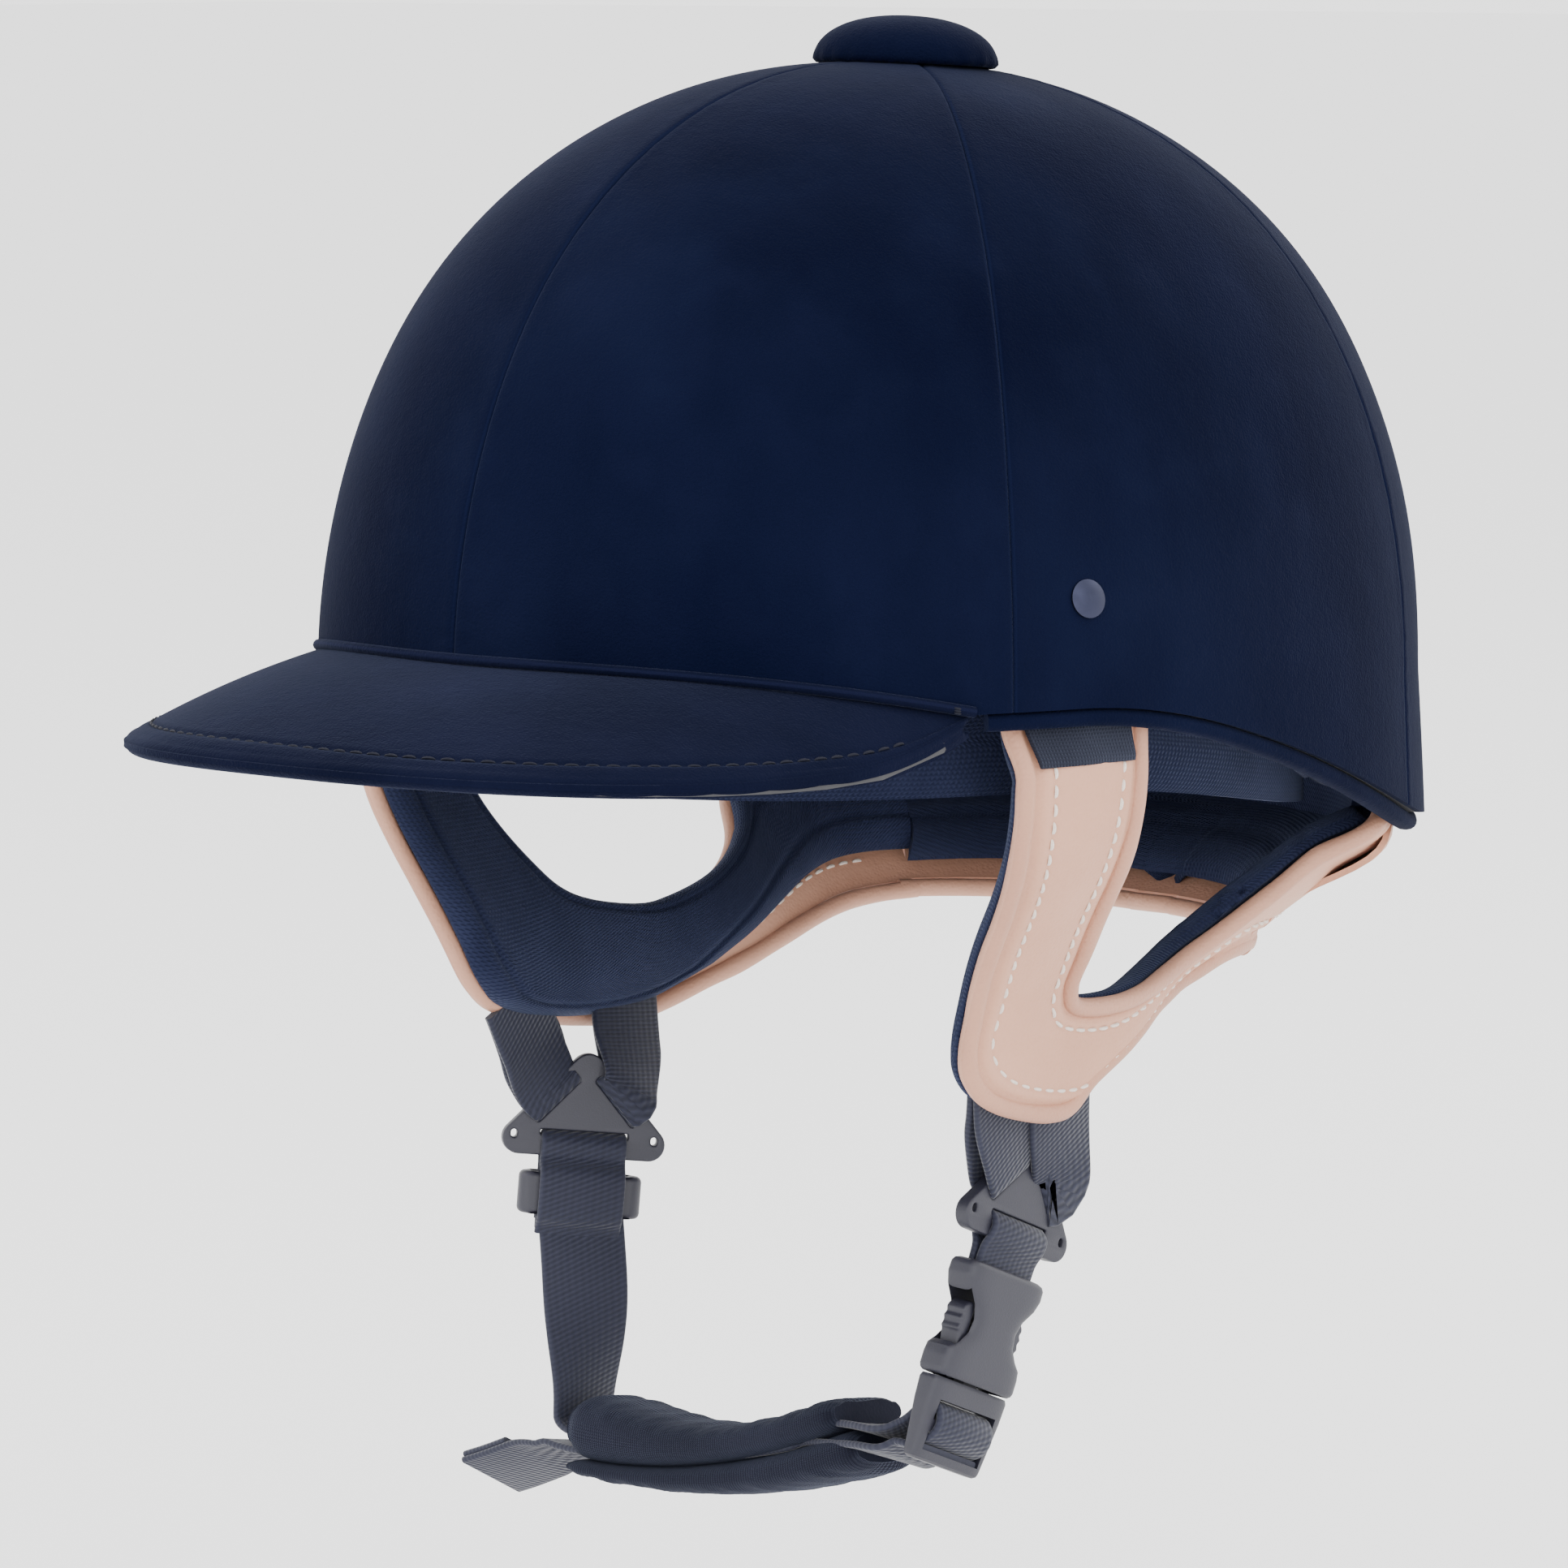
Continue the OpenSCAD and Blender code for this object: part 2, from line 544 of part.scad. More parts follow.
// Sprung side arm of the plug
module prong(s) {
    color(plastic) in_buckle() translate([0, 0, socket_to]) rotate([0, 90, 0])
        translate([0, 0, -1.5]) linear_extrude(3)
            polygon([for (p = [[0.2, 6.6], [4, 6.8], [12, 7.6], [15, 7.2], [16.3, 8.4], [15, 10],
                [11, 10.5], [10.6, 9.8], [4, 9.4], [0.2, 9.4]]) [p[0], s * p[1]]]);
}
module prong_front() { prong(-1); }
module prong_rear() { prong(1); }

// Doubled webbing over the right divider's bar, with the slider round it
slider_at = 10.6;
fold_at = 18.4;
module divider_webbing() {
    color(web_black) in_right() translate([0, 0, bar_z]) mirror([0, 0, 1]) across(web_w)
        polygon(strap_outline(concat([[-1.1, 16.5], [-1.1, 3.6]], over_bar(1.6, 1.6),
            [[1.1, 3.6], [1.1, fold_at - 1.4]]), web_t));
}
module strap_slider() {
    color(plastic) in_right() translate([0, 0, bar_z - slider_at]) difference() {
        hull() for (y = [-11.6, 11.6], z = [-4.5, 4.5]) translate([-3.5, y, z])
            rotate([0, 90, 0]) cylinder(r = 2.2, h = 7, $fn = 24);
        translate([-2.4, -web_w / 2 - 1.4, -10]) cube([4.8, web_w + 2.8, 20]);
    }
}

// The chin arc: the pad and the webbing in it share this centre
arc_r = 216.5;
arc_x = -41.6;
function arc_at(a, r) = [arc_x + r * sin(a), arc_r - chin_drop - r * cos(a)];

// Rings of a flat strap: route points in the loop's plane, each turned about its own run
function strap_rings(route, turn) = [for (i = [0:len(route) - 1])
    let (n = len(route) - 1, d = unit(route[min(i + 1, n)] - route[max(i - 1, 0)]),
        flat = [-d[1], 0, d[0]], c = [route[i][0], 0, route[i][1]],
        wide = ([0, cos(turn[i]), 0] - flat * sin(turn[i])) * web_w / 2,
        thin = (flat * cos(turn[i]) + [0, sin(turn[i]), 0]) * web_t / 2)
    [c + wide + thin, c - wide + thin, c - wide - thin, c + wide - thin]];

// Single webbing from the slider down to the corner of the loop, untwisting as it goes
corner = [-51.2, -79.4];
module side_webbing() {
    top = [-loop_half + 0.8, bar_z - fold_at];
    swing_clear = 0.36;
    steps = 8;
    shares = [for (i = [0:steps]) mix(swing_clear, 1, i / steps)];
    route = [for (k = shares) mix(top, corner, k) + [1.2 * sin(180 * k), 0]];
    turns = [for (k = shares) -right_turn * (1 - smooth01(k))];
    color(web_black) in_loop() loft(strap_rings(route, turns));
}
// Webbing along the chin, from the corner of the loop to the plug
module chin_webbing() {
    bend = [corner + [0.2, -0.3], corner + [1.4, -2.4], [-46.5, -83], arc_at(0.4, arc_r)];
    path = concat([for (i = [0:5]) curve_at(bend, i / 5)], [for (a = [3:2:21]) arc_at(a, arc_r)],
        [[41.5, -67.3], [46, -67], [50.2, -67.6]]);
    color(web_black) in_loop() across(web_w) polygon(strap_outline(path, web_t));
}
// The free end of the webbing runs back under the pad and leaves it at the right
module webbing_tail() {
    below = arc_r + 2.2;
    bend = 10;
    route = concat([for (i = [0:bend]) arc_at(mix(19, -3, i / bend), below)],
        [[-57, -86.6], [-62, -88.2], [-67, -89.8], [-72, -91.4], [-76, -92.6]]);
    color(web_black) in_loop() loft(strap_rings(route, [for (i = [0:len(route) - 1])
        -25 * smooth01((i - bend) / 3)]));
}

// Half of the chin pad: a rounded bar on one side of the webbing's slot
pad_to = 20.4;
module chin_pad_half(side, depth, wide, near, from) {
    cols = 14;
    steps = 12;
    rings = [for (i = [0:cols])
        let (a = mix(from, pad_to, i / cols), end = abs(2 * i / cols - 1),
            full = sqrt(1 - pow(0.9 * pow(end, 6), 2)))
        [for (k = [0:steps]) let (w = 180 * k / steps, r = arc_r - side * (near + depth * sin(w) * full),
            p = arc_at(a, r)) [p[0], wide * cos(w) * mix(1, full, 0.4), p[1]]]];
    in_loop() loft(side > 0 ? rings : [for (ring = rings) [for (k = [steps:-1:0]) ring[k]]]);
}
module chin_pad_top() { color(velvet) chin_pad_half(1, 7.6, 12.5, web_t / 2 + web_gap, 0.4); }
module chin_pad_cover() {
    color(web_black) chin_pad_half(-1, 4.6, 12.5, 2.2 + web_t / 2 + web_gap, -1.8);
}

outer_shell();
panel_front_left();
panel_side_left();
panel_rear_left();
panel_rear_right();
panel_side_right();
panel_front_right();
crown_button();
button_stud();
peak_board();
peak_top_cover();
peak_under_cover();
rim_binding();
foam_liner();
liner_edge_cover();
crown_pad();
headband();
anchor_rivets();
anchor_washers();
anchor_tabs();
harness_leather_left();
harness_leather_right();
harness_lining_left();
harness_lining_right();
harness_piping_left();
harness_piping_right();
nape_leather();
nape_lining();
nape_piping();
label_tab();
webbing_v_left();
webbing_v_right();
divider_left();
divider_right();
socket_webbing();
buckle_socket();
divider_webbing();
strap_slider();
side_webbing();
chin_webbing();
webbing_tail();
chin_pad_top();
chin_pad_cover();
buckle_plug();
prong_front();
prong_rear();
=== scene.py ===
"""Looks of a velvet riding helmet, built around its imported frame.

Lengths are in millimetres until a mesh is made. +Z is up, the peak points to -Y and the wearer's left is +X.
"""

import logging
from dataclasses import dataclass
from enum import Enum

import bmesh
import bpy
import numpy as np
from mathutils import Matrix


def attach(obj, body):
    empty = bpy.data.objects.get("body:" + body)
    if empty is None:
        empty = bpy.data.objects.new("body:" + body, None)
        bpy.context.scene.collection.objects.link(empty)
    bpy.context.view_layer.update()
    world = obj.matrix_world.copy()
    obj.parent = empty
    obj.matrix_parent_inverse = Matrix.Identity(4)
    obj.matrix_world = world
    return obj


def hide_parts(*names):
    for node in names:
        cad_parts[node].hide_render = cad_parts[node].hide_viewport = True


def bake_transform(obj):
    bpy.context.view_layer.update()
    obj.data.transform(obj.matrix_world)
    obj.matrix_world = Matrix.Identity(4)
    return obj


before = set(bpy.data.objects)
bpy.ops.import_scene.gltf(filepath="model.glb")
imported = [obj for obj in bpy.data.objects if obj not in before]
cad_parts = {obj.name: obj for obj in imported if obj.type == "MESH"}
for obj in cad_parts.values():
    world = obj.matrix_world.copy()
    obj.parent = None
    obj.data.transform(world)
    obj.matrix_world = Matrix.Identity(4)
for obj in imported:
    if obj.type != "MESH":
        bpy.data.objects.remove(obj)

log = logging.getLogger("helmet")
MM = 0.001
Array = np.ndarray


# ---- Small maths ----


def smooth01(v: Array) -> Array:
    """Ease from 0 to 1 with flat ends."""
    u = np.clip(v, 0.0, 1.0)
    return u * u * (3 - 2 * u)


def mix(a: Array, b: Array, u: Array) -> Array:
    """The value a share u of the way from a to b."""
    return a + (b - a) * u


def sind(a: Array) -> Array:
    """Sine of an angle in degrees."""
    return np.sin(np.radians(a))


def cosd(a: Array) -> Array:
    """Cosine of an angle in degrees."""
    return np.cos(np.radians(a))


def unit(v: Array) -> Array:
    """Vectors scaled to length 1 along the last axis."""
    return v / np.maximum(np.linalg.norm(v, axis=-1, keepdims=True), 1e-9)


def bump_at(d: Array, centre: float, width: float) -> Array:
    """A smooth bump of height 1 at a distance."""
    return np.exp(-(((d - centre) / width) ** 2))


def curve_at(points: Array, u: Array) -> Array:
    """Points of a smooth curve through the listed points.

    Args:
        points: The points, one a row.
        u: Places from 0 to 1, of any shape.

    Returns:
        The curve's points, in the shape of u with one more axis.
    """
    p = np.asarray(points, float)
    u = np.asarray(u, float)
    n = len(p) - 1
    i = np.clip(np.floor(u * n).astype(int), 0, n - 1)
    f = (u * n - i).reshape(u.shape + (1,) * (p.ndim - 1))
    a, b, c, d = p[np.maximum(0, i - 1)], p[i], p[i + 1], p[np.minimum(n, i + 2)]
    return 0.5 * (2 * b + (c - a) * f + (2 * a - 5 * b + 4 * c - d) * f**2 + (3 * b - a - 3 * c + d) * f**3)


def even_path(path: Array, step: float) -> Array:
    """The same path with points an even step apart."""
    lengths = np.concatenate([[0], np.cumsum(np.linalg.norm(np.diff(path, axis=0), axis=1))])
    count = max(2, int(round(lengths[-1] / step)) + 1)
    places = np.linspace(0, lengths[-1], count)
    return np.stack([np.interp(places, lengths, path[:, k]) for k in range(3)], axis=1)


def run_of(path: Array) -> Array:
    """Unit direction of a path at each of its points."""
    return unit(np.gradient(path, axis=0))


def rounded(x: Array) -> Array:
    """A pillow's profile: 0 at its edge, 1 from x = 1 inwards."""
    return (1 - (1 - np.clip(x, 0, 1)) ** 2.4) ** 0.6


class Waves:
    """A smooth uneven value over one number, the same on each run."""

    def __init__(self, seed: int, count: int, low: float, high: float) -> None:
        """Draw the waves' frequencies, between low and high, and their phases."""
        draw = np.random.default_rng(seed)
        self.rates = draw.uniform(low, high, count)
        self.phases = draw.uniform(0, 2 * np.pi, count)

    def __call__(self, x: Array) -> Array:
        """The value at x, about -1 to 1."""
        x = np.asarray(x, float)
        total = sum(np.sin(r * x + p) for r, p in zip(self.rates, self.phases))
        return total / np.sqrt(len(self.rates))


# ---- Solids ----


@dataclass
class Solid:
    """A closed mesh in the making: points in millimetres, faces, and a flow map of metres."""

    points: Array
    faces: list
    flow: list

    def joined(self, other: "Solid") -> "Solid":
        """This solid and another as one."""
        shift = len(self.points)
        moved = [tuple(k + shift for k in face) for face in other.faces]
        return Solid(np.vstack([self.points, other.points]), self.faces + moved, self.flow + other.flow)


def _grid_faces(rows: int, cols: int, wrap: bool, flow: Array | None) -> tuple[list, list]:
    """Faces of a grid of points, and the flow map at each face's corners."""
    faces, maps = [], []
    for i in range(rows - 1):
        for j in range(cols if wrap else cols - 1):
            k = (j + 1) % cols
            faces.append((i * cols + j, i * cols + k, (i + 1) * cols + k, (i + 1) * cols + j))
            if flow is None:
                maps.append(((0, 0),) * 4)
            else:
                maps.append((flow[i, j], flow[i, j + 1], flow[i + 1, j + 1], flow[i + 1, j]))
    return faces, maps


def shell_between(outer: Array, inner: Array, wrap: bool = False, flow: Array | None = None) -> Solid:
    """A closed solid between two grids of points.

    Args:
        outer: The outer face's points, rows by columns.
        inner: The inner face's points, in the same order.
        wrap: Whether the last column joins the first.
        flow: A map in metres for the outer face, with one more column if it wraps.

    Returns:
        The solid.
    """
    rows, cols = outer.shape[:2]
    count = rows * cols
    faces, maps = _grid_faces(rows, cols, wrap, flow)
    solid_faces = list(faces) + [tuple(count + k for k in reversed(face)) for face in faces]
    solid_maps = list(maps) + [tuple(reversed(m)) for m in maps]

    def wall(a: int, b: int, m: tuple) -> None:
        solid_faces.append((b, a, a + count, b + count))
        solid_maps.append((m[1], m[0], m[0], m[1]))

    edge_map = ((0, 0), (0, 0)) if flow is None else None
    for j in range(cols if wrap else cols - 1):
        k = (j + 1) % cols
        wall(k, j, edge_map or (flow[0, j + 1], flow[0, j]))
        wall((rows - 1) * cols + j, (rows - 1) * cols + k, edge_map or (flow[-1, j], flow[-1, j + 1]))
    if not wrap:
        for i in range(rows - 1):
            wall(i * cols, (i + 1) * cols, edge_map or (flow[i, 0], flow[i + 1, 0]))
            wall((i + 2) * cols - 1, (i + 1) * cols - 1, edge_map or (flow[i + 1, -1], flow[i, -1]))
    return Solid(np.vstack([outer.reshape(-1, 3), inner.reshape(-1, 3)]), solid_faces, solid_maps)


def lofted(rings: Array, flow: Array | None = None, closed: bool = False) -> Solid:
    """A closed solid through rings of points.

    Args:
        rings: The rings, ring by point.
        flow: A map in metres, ring by point, with one more point than a ring has.
        closed: Whether the last ring joins the first.

    Returns:
        The solid.
    """
    count, around = rings.shape[:2]
    if closed:
        rings = np.concatenate([rings, rings[:1]])
        flow = None if flow is None else np.concatenate([flow, flow[:1]])
    faces, maps = _grid_faces(len(rings), around, True, flow)
    if closed:
        total = count * around
        faces = [tuple(k % total for k in face) for face in faces]
        return Solid(rings[:-1].reshape(-1, 3), faces, maps)
    last = (count - 1) * around
    faces += [tuple(range(around - 1, -1, -1)), tuple(range(last, last + around))]
    maps += [((0, 0),) * around] * 2
    return Solid(rings.reshape(-1, 3), faces, maps)


def tube(path: Array, radius: float, face: Array, sides: int = 12, squash: float = 1.0) -> Solid:
    """A round cord along a path.

    Args:
        path: The path's points.
        radius: The cord's radius, a number or one for each point.
        face: A direction that the cord never runs along.
        sides: Points round the cord.
        squash: Height of the cord's section over its width.

    Returns:
        The cord, with its flow map around and along.
    """
    run = run_of(path)
    side = unit(np.cross(run, np.broadcast_to(np.asarray(face, float), run.shape)))
    up = np.cross(side, run)
    turn = np.linspace(0, 2 * np.pi, sides, endpoint=False)
    size = np.broadcast_to(np.asarray(radius, float), (len(path),))[:, None, None]
    rings = path[:, None] + size * (
        np.cos(turn)[None, :, None] * side[:, None] + squash * np.sin(turn)[None, :, None] * up[:, None])
    along = np.concatenate([[0], np.cumsum(np.linalg.norm(np.diff(path, axis=0), axis=1))])
    around = np.arange(sides + 1) / sides * 2 * np.pi * float(np.mean(radius))
    flow = np.stack(np.broadcast_arrays(around[None], along[:, None]), axis=-1) * MM
    return lofted(rings, flow)


def ribbon(path: Array, wide: Array, width: float, thick: float) -> Solid:
    """A flat woven strap with soft edges.

    Args:
        path: The strap's middle line.
        wide: The direction across the strap at each point.
        width: The strap's width, a number or one for each point.
        thick: The strap's thickness.

    Returns:
        The strap, with its flow map across and along.
    """
    run = run_of(path)
    across = unit(wide - run * np.sum(wide * run, axis=1, keepdims=True))
    up = np.cross(run, across)
    half = np.broadcast_to(np.asarray(width, float), (len(path),))[:, None] / 2
    corner = thick * 0.45
    turn = np.radians([0, 45, 90])
    xs, ys = [], []
    for sx, sy, order in ((1, 1, 1), (-1, 1, -1), (-1, -1, 1), (1, -1, -1)):
        arc = turn if order == 1 else turn[::-1]
        xs.append(sx * (half - corner + corner * np.cos(arc)[None]))
        ys.append(np.broadcast_to(sy * (thick / 2 - corner + corner * np.sin(arc))[None], (len(path), 3)))
    x, y = np.concatenate(xs, axis=1), np.concatenate(ys, axis=1)
    rings = path[:, None] + x[..., None] * across[:, None] + y[..., None] * up[:, None]
    along = np.concatenate([[0], np.cumsum(np.linalg.norm(np.diff(path, axis=0), axis=1))])
    u = np.concatenate([x, x[:, :1]], axis=1)
    flow = np.stack(np.broadcast_arrays(u, along[:, None]), axis=-1) * MM
    return lofted(rings, flow)


def face_normals(grid: Array, centre: Array) -> Array:
    """Normals of a grid of points, pointing away from a centre."""
    n = unit(np.cross(np.gradient(grid, axis=0), np.gradient(grid, axis=1)))
    sign = np.sign(np.sum(n * (grid - np.asarray(centre, float)), axis=-1, keepdims=True))
    return n * np.where(sign == 0, 1, sign)


def grid_flow(grid: Array, wrap: bool = False) -> Array:
    """Distances in metres across and along a grid, for its flow map."""
    if wrap:
        grid = np.concatenate([grid, grid[:, :1]], axis=1)
    across = np.linalg.norm(np.diff(grid, axis=1), axis=2)
    along = np.linalg.norm(np.diff(grid, axis=0), axis=2)
    u = np.concatenate([np.zeros((len(grid), 1)), np.cumsum(across, axis=1)], axis=1)
    v = np.concatenate([np.zeros((1, grid.shape[1])), np.cumsum(along, axis=0)], axis=0)
    return np.stack([u, v], axis=-1) * MM


def stitches(path: Array, up: Array, length: float, space: float, radius: float) -> Solid:
    """A row of thread stitches lying on a surface.

    Args:
        path: The row's line on the surface.
        up: The surface's normal at each point.
        length: Length of one stitch.
        space: Gap between stitches.
        radius: Radius of the thread.

    Returns:
        All stitches of the row as one solid.
    """
    lengths = np.concatenate([[0], np.cumsum(np.linalg.norm(np.diff(path, axis=0), axis=1))])
    starts = np.arange(space, lengths[-1] - length - space, length + space)
    share = np.array([0.0, 0.12, 0.35, 0.65, 0.88, 1.0])
    fat = np.array([0.35, 0.8, 1.0, 1.0, 0.8, 0.35])
    rise = np.array([-0.5, 0.1, 0.45, 0.45, 0.1, -0.5])
    turn = np.linspace(0, 2 * np.pi, 6, endpoint=False)
    points, faces, maps = [], [], []
    for start in starts:
        at = start + share * length
        line = np.stack([np.interp(at, lengths, path[:, k]) for k in range(3)], axis=1)
        lift = unit(np.stack([np.interp(at, lengths, up[:, k]) for k in range(3)], axis=1))
        side = unit(np.cross(run_of(line), lift))
        rings = line[:, None] + lift[:, None] * (rise * radius)[:, None, None] + (
            radius * fat[:, None, None]) * (np.cos(turn)[None, :, None] * side[:, None]
                                            + np.sin(turn)[None, :, None] * lift[:, None])
        one = lofted(rings)
        shift = len(points) * len(one.points)
        points.append(one.points)
        faces += [tuple(k + shift for k in face) for face in one.faces]
        maps += one.flow
    return Solid(np.vstack(points), faces, maps)


# ---- Shader maths ----


class Value:
    """A number that changes over a surface, with ordinary arithmetic."""

    def __init__(self, paint: "Paint", socket: bpy.types.NodeSocket) -> None:
        """Wrap a shader socket of a paint."""
        self.paint = paint
        self.socket = socket

    def _maths(self, operation: str, a: object, b: object = 0.0) -> "Value":
        """A Math node on two values."""
        node = self.paint.node("ShaderNodeMath", {"operation": operation}, {0: a, 1: b})
        return Value(self.paint, node.outputs[0])

    def __add__(self, other: object) -> "Value":
        """Sum."""
        return self._maths("ADD", self, other)

    __radd__ = __add__

    def __sub__(self, other: object) -> "Value":
        """Difference."""
        return self._maths("SUBTRACT", self, other)

    def __rsub__(self, other: object) -> "Value":
        """Difference from a number."""
        return self._maths("SUBTRACT", other, self)

    def __mul__(self, other: object) -> "Value":
        """Product."""
        return self._maths("MULTIPLY", self, other)

    __rmul__ = __mul__

    def __truediv__(self, other: object) -> "Value":
        """Quotient."""
        return self._maths("DIVIDE", self, other)

    def __pow__(self, other: object) -> "Value":
        """Power."""
        return self._maths("POWER", self, other)

    def sine(self) -> "Value":
        """Sine of this value."""
        return self._maths("SINE", self)

    def size(self) -> "Value":
        """This value without its sign."""
        return self._maths("ABSOLUTE", self)

    def between(self, low: float, high: float) -> "Value":
        """0 below low, 1 above high, smooth between."""
        node = self.paint.node("ShaderNodeMapRange", {"interpolation_type": "SMOOTHSTEP"},
                               {"Value": self, "From Min": low, "From Max": high})
        return Value(self.paint, node.outputs[0])


class Paint:
    """One material in the making."""

    def __init__(self, name: str) -> None:
        """Start an empty material with a principled shader."""
        self.material = bpy.data.materials.new(name)
        self.material.use_nodes = True
        self.tree = self.material.node_tree
        self.tree.nodes.clear()
        self.shader = self.tree.nodes.new("ShaderNodeBsdfPrincipled")
        output = self.tree.nodes.new("ShaderNodeOutputMaterial")
        self.tree.links.new(self.shader.outputs[0], output.inputs[0])

    def node(self, kind: str, settings: dict | None = None, values: dict | None = None) -> bpy.types.Node:
        """Add a node.

        Args:
            kind: The node's type.
            settings: Its own settings, set first.
            values: A number, colour, Value or socket for each named or numbered input.

        Returns:
            The node.
        """
        node = self.tree.nodes.new(kind)
        for key, value in (settings or {}).items():
            setattr(node, key, value)
        for key, value in (values or {}).items():
            link = value.socket if isinstance(value, Value) else value
            if isinstance(link, bpy.types.NodeSocket):
                self.tree.links.new(link, node.inputs[key])
            else:
                node.inputs[key].default_value = link
        return node

    def place(self) -> bpy.types.NodeSocket:
        """Place on the object, in metres."""
        return self.node("ShaderNodeTexCoord").outputs["Object"]

    def flow(self) -> tuple[Value, Value]:
        """Distances across and along the piece, in metres."""
        split = self.node("ShaderNodeSeparateXYZ", None, {0: self.node("ShaderNodeUVMap").outputs[0]})
        return Value(self, split.outputs[0]), Value(self, split.outputs[1])

    def noise(self, scale: float, detail: float = 2.0, stretch: tuple = (1, 1, 1)) -> Value:
        """Soft noise from 0 to 1.

        Args:
            scale: Features per metre.
            detail: Layers of finer noise.
            stretch: Scale along each axis.

        Returns:
            The noise.
        """
        at = self.place()
        if stretch != (1, 1, 1):
            at = self.node("ShaderNodeMapping", None, {"Vector": at, "Scale": stretch}).outputs[0]
        node = self.node("ShaderNodeTexNoise", None, {"Vector": at, "Scale": scale, "Detail": detail})
        return Value(self, node.outputs[0])

    def cells(self, scale: float, feature: str = "F1") -> Value:
        """Distance from the middles or edges of random cells."""
        node = self.node("ShaderNodeTexVoronoi", {"feature": feature}, {"Vector": self.place(), "Scale": scale})
        return Value(self, node.outputs[0])

    def blend(self, share: Value, a: object, b: object) -> bpy.types.NodeSocket:
        """A colour between two colours by a share."""
        node = self.node("ShaderNodeMix", {"data_type": "RGBA"}, {0: share, 6: a, 7: b})
        return node.outputs[2]

    def relief(self, height: Value, depth: float, strength: float = 1.0) -> None:
        """Raise the surface by a height from 0 to 1, with the full depth in metres."""
        node = self.node("ShaderNodeBump", None, {"Height": height, "Distance": depth, "Strength": strength})
        self.tree.links.new(node.outputs[0], self.shader.inputs["Normal"])

    def finish(self, **values: object) -> bpy.types.Material:
        """Set the shader's inputs, named with underscores for spaces, and return the material."""
        for key, value in values.items():
            name = key.replace("_", " ")
            link = value.socket if isinstance(value, Value) else value
            if isinstance(link, bpy.types.NodeSocket):
                self.tree.links.new(link, self.shader.inputs[name])
            else:
                self.shader.inputs[name].default_value = link
        return self.material


# ---- Finishes ----

Colour = tuple[float, float, float, float]


def rgb(red: float, green: float, blue: float) -> Colour:
    """A linear colour with full alpha."""
    return (red, green, blue, 1.0)


@dataclass(frozen=True)
class Velvet:
    """Short-piled velvet whose nap shows lighter patches where it was brushed, with painted sheen along its seams.
    """

    name: str
    deep: Colour
    # The lighter colour: the brushed nap patches, and also the painted sheen along the gore seams.
    brushed: Colour
    sheen: float = 0.5

    def make(self) -> bpy.types.Material:
        """Build the material."""
        paint = Paint(self.name)
        across, _ = paint.flow()
        patches = paint.noise(15, 3.0).between(0.35, 0.75) * 0.7 + paint.noise(70, 2.0).between(0.45, 0.8) * 0.3
        strokes = paint.noise(26, 4.0, (1.0, 1.0, 0.35)).between(0.35, 0.75)
        # Painted sheen: a lighter line along each gore seam, where the pile bends over the seam and catches the
        # light.
        seam = 1 - across.between(0.0002, 0.0009)
        pile = paint.noise(1900, 2.0)
        share = patches * 0.5 + strokes * 0.36 + pile * 0.3 + seam * 1.3
        paint.relief(pile * 0.8 + paint.noise(420, 2.0) * 0.6, 0.0005, 0.55)
        return paint.finish(
            Base_Color=paint.blend(share, self.deep, self.brushed), Roughness=0.97 - 0.12 * patches,
            Sheen_Weight=self.sheen, Sheen_Roughness=0.38, Sheen_Tint=rgb(0.42, 0.5, 0.82),
            Specular_IOR_Level=0.04)


@dataclass(frozen=True)
class Leather:
    """Smooth dyed leather with a fine grain, and painted shade in a band along its edges, in the groove beside the
    piping.
    """

    name: str
    face: Colour
    shade: Colour
    roughness: float = 0.5

    def make(self) -> bpy.types.Material:
        """Build the material."""
        paint = Paint(self.name)
        across, _ = paint.flow()
        grain = paint.cells(1150).between(0.05, 0.75)
        pores = paint.noise(620, 5.0)
        clouds = paint.noise(38, 4.0).between(0.3, 0.75)
        # Painted shade: darker within about 5 mm of the edge, in the groove beside the piping; on the piping cords
        # the band lies along one side of each cord.
        painted_edge_shade = 1 - across.between(0.0015, 0.0048)
        share = clouds * 0.42 + painted_edge_shade * 0.5 + (1 - grain) * 0.08
        paint.relief(grain * 0.5 + pores * 0.5 + paint.noise(110, 3.0) * 0.6, 0.00028, 0.45)
        return paint.finish(
            Base_Color=paint.blend(share, self.face, self.shade), Roughness=self.roughness + 0.16 * pores,
            Specular_IOR_Level=0.3, Sheen_Weight=0.04)


@dataclass(frozen=True)
class Webbing:
    """Woven webbing: slanted ribs across the strap and a tight edge."""

    name: str
    dark: Colour
    light: Colour
    rib: float = 0.00115
    half: float = 0.0095

    def make(self) -> bpy.types.Material:
        """Build the material."""
        paint = Paint(self.name)
        across, along = paint.flow()
        turn = 2 * np.pi / self.rib
        ribs = ((along + across * 0.42) * turn).sine() * 0.5 + 0.5
        warp = (across * (2 * np.pi / 0.00155)).sine() * 0.5 + 0.5
        edge = across.size().between(self.half - 0.0016, self.half - 0.0008)
        height = ribs * 0.75 * (1 - edge * 0.6) + warp * 0.3 + edge * 0.3
        fuzz = paint.noise(900, 3.0)
        paint.relief(height + fuzz * 0.25, 0.00024, 0.8)
        share = height * 0.6 + fuzz * 0.25 + paint.noise(60, 2.0) * 0.25
        return paint.finish(
            Base_Color=paint.blend(share, self.dark, self.light), Roughness=0.72 - 0.1 * ribs,
            Sheen_Weight=0.18, Sheen_Roughness=0.45, Specular_IOR_Level=0.3)


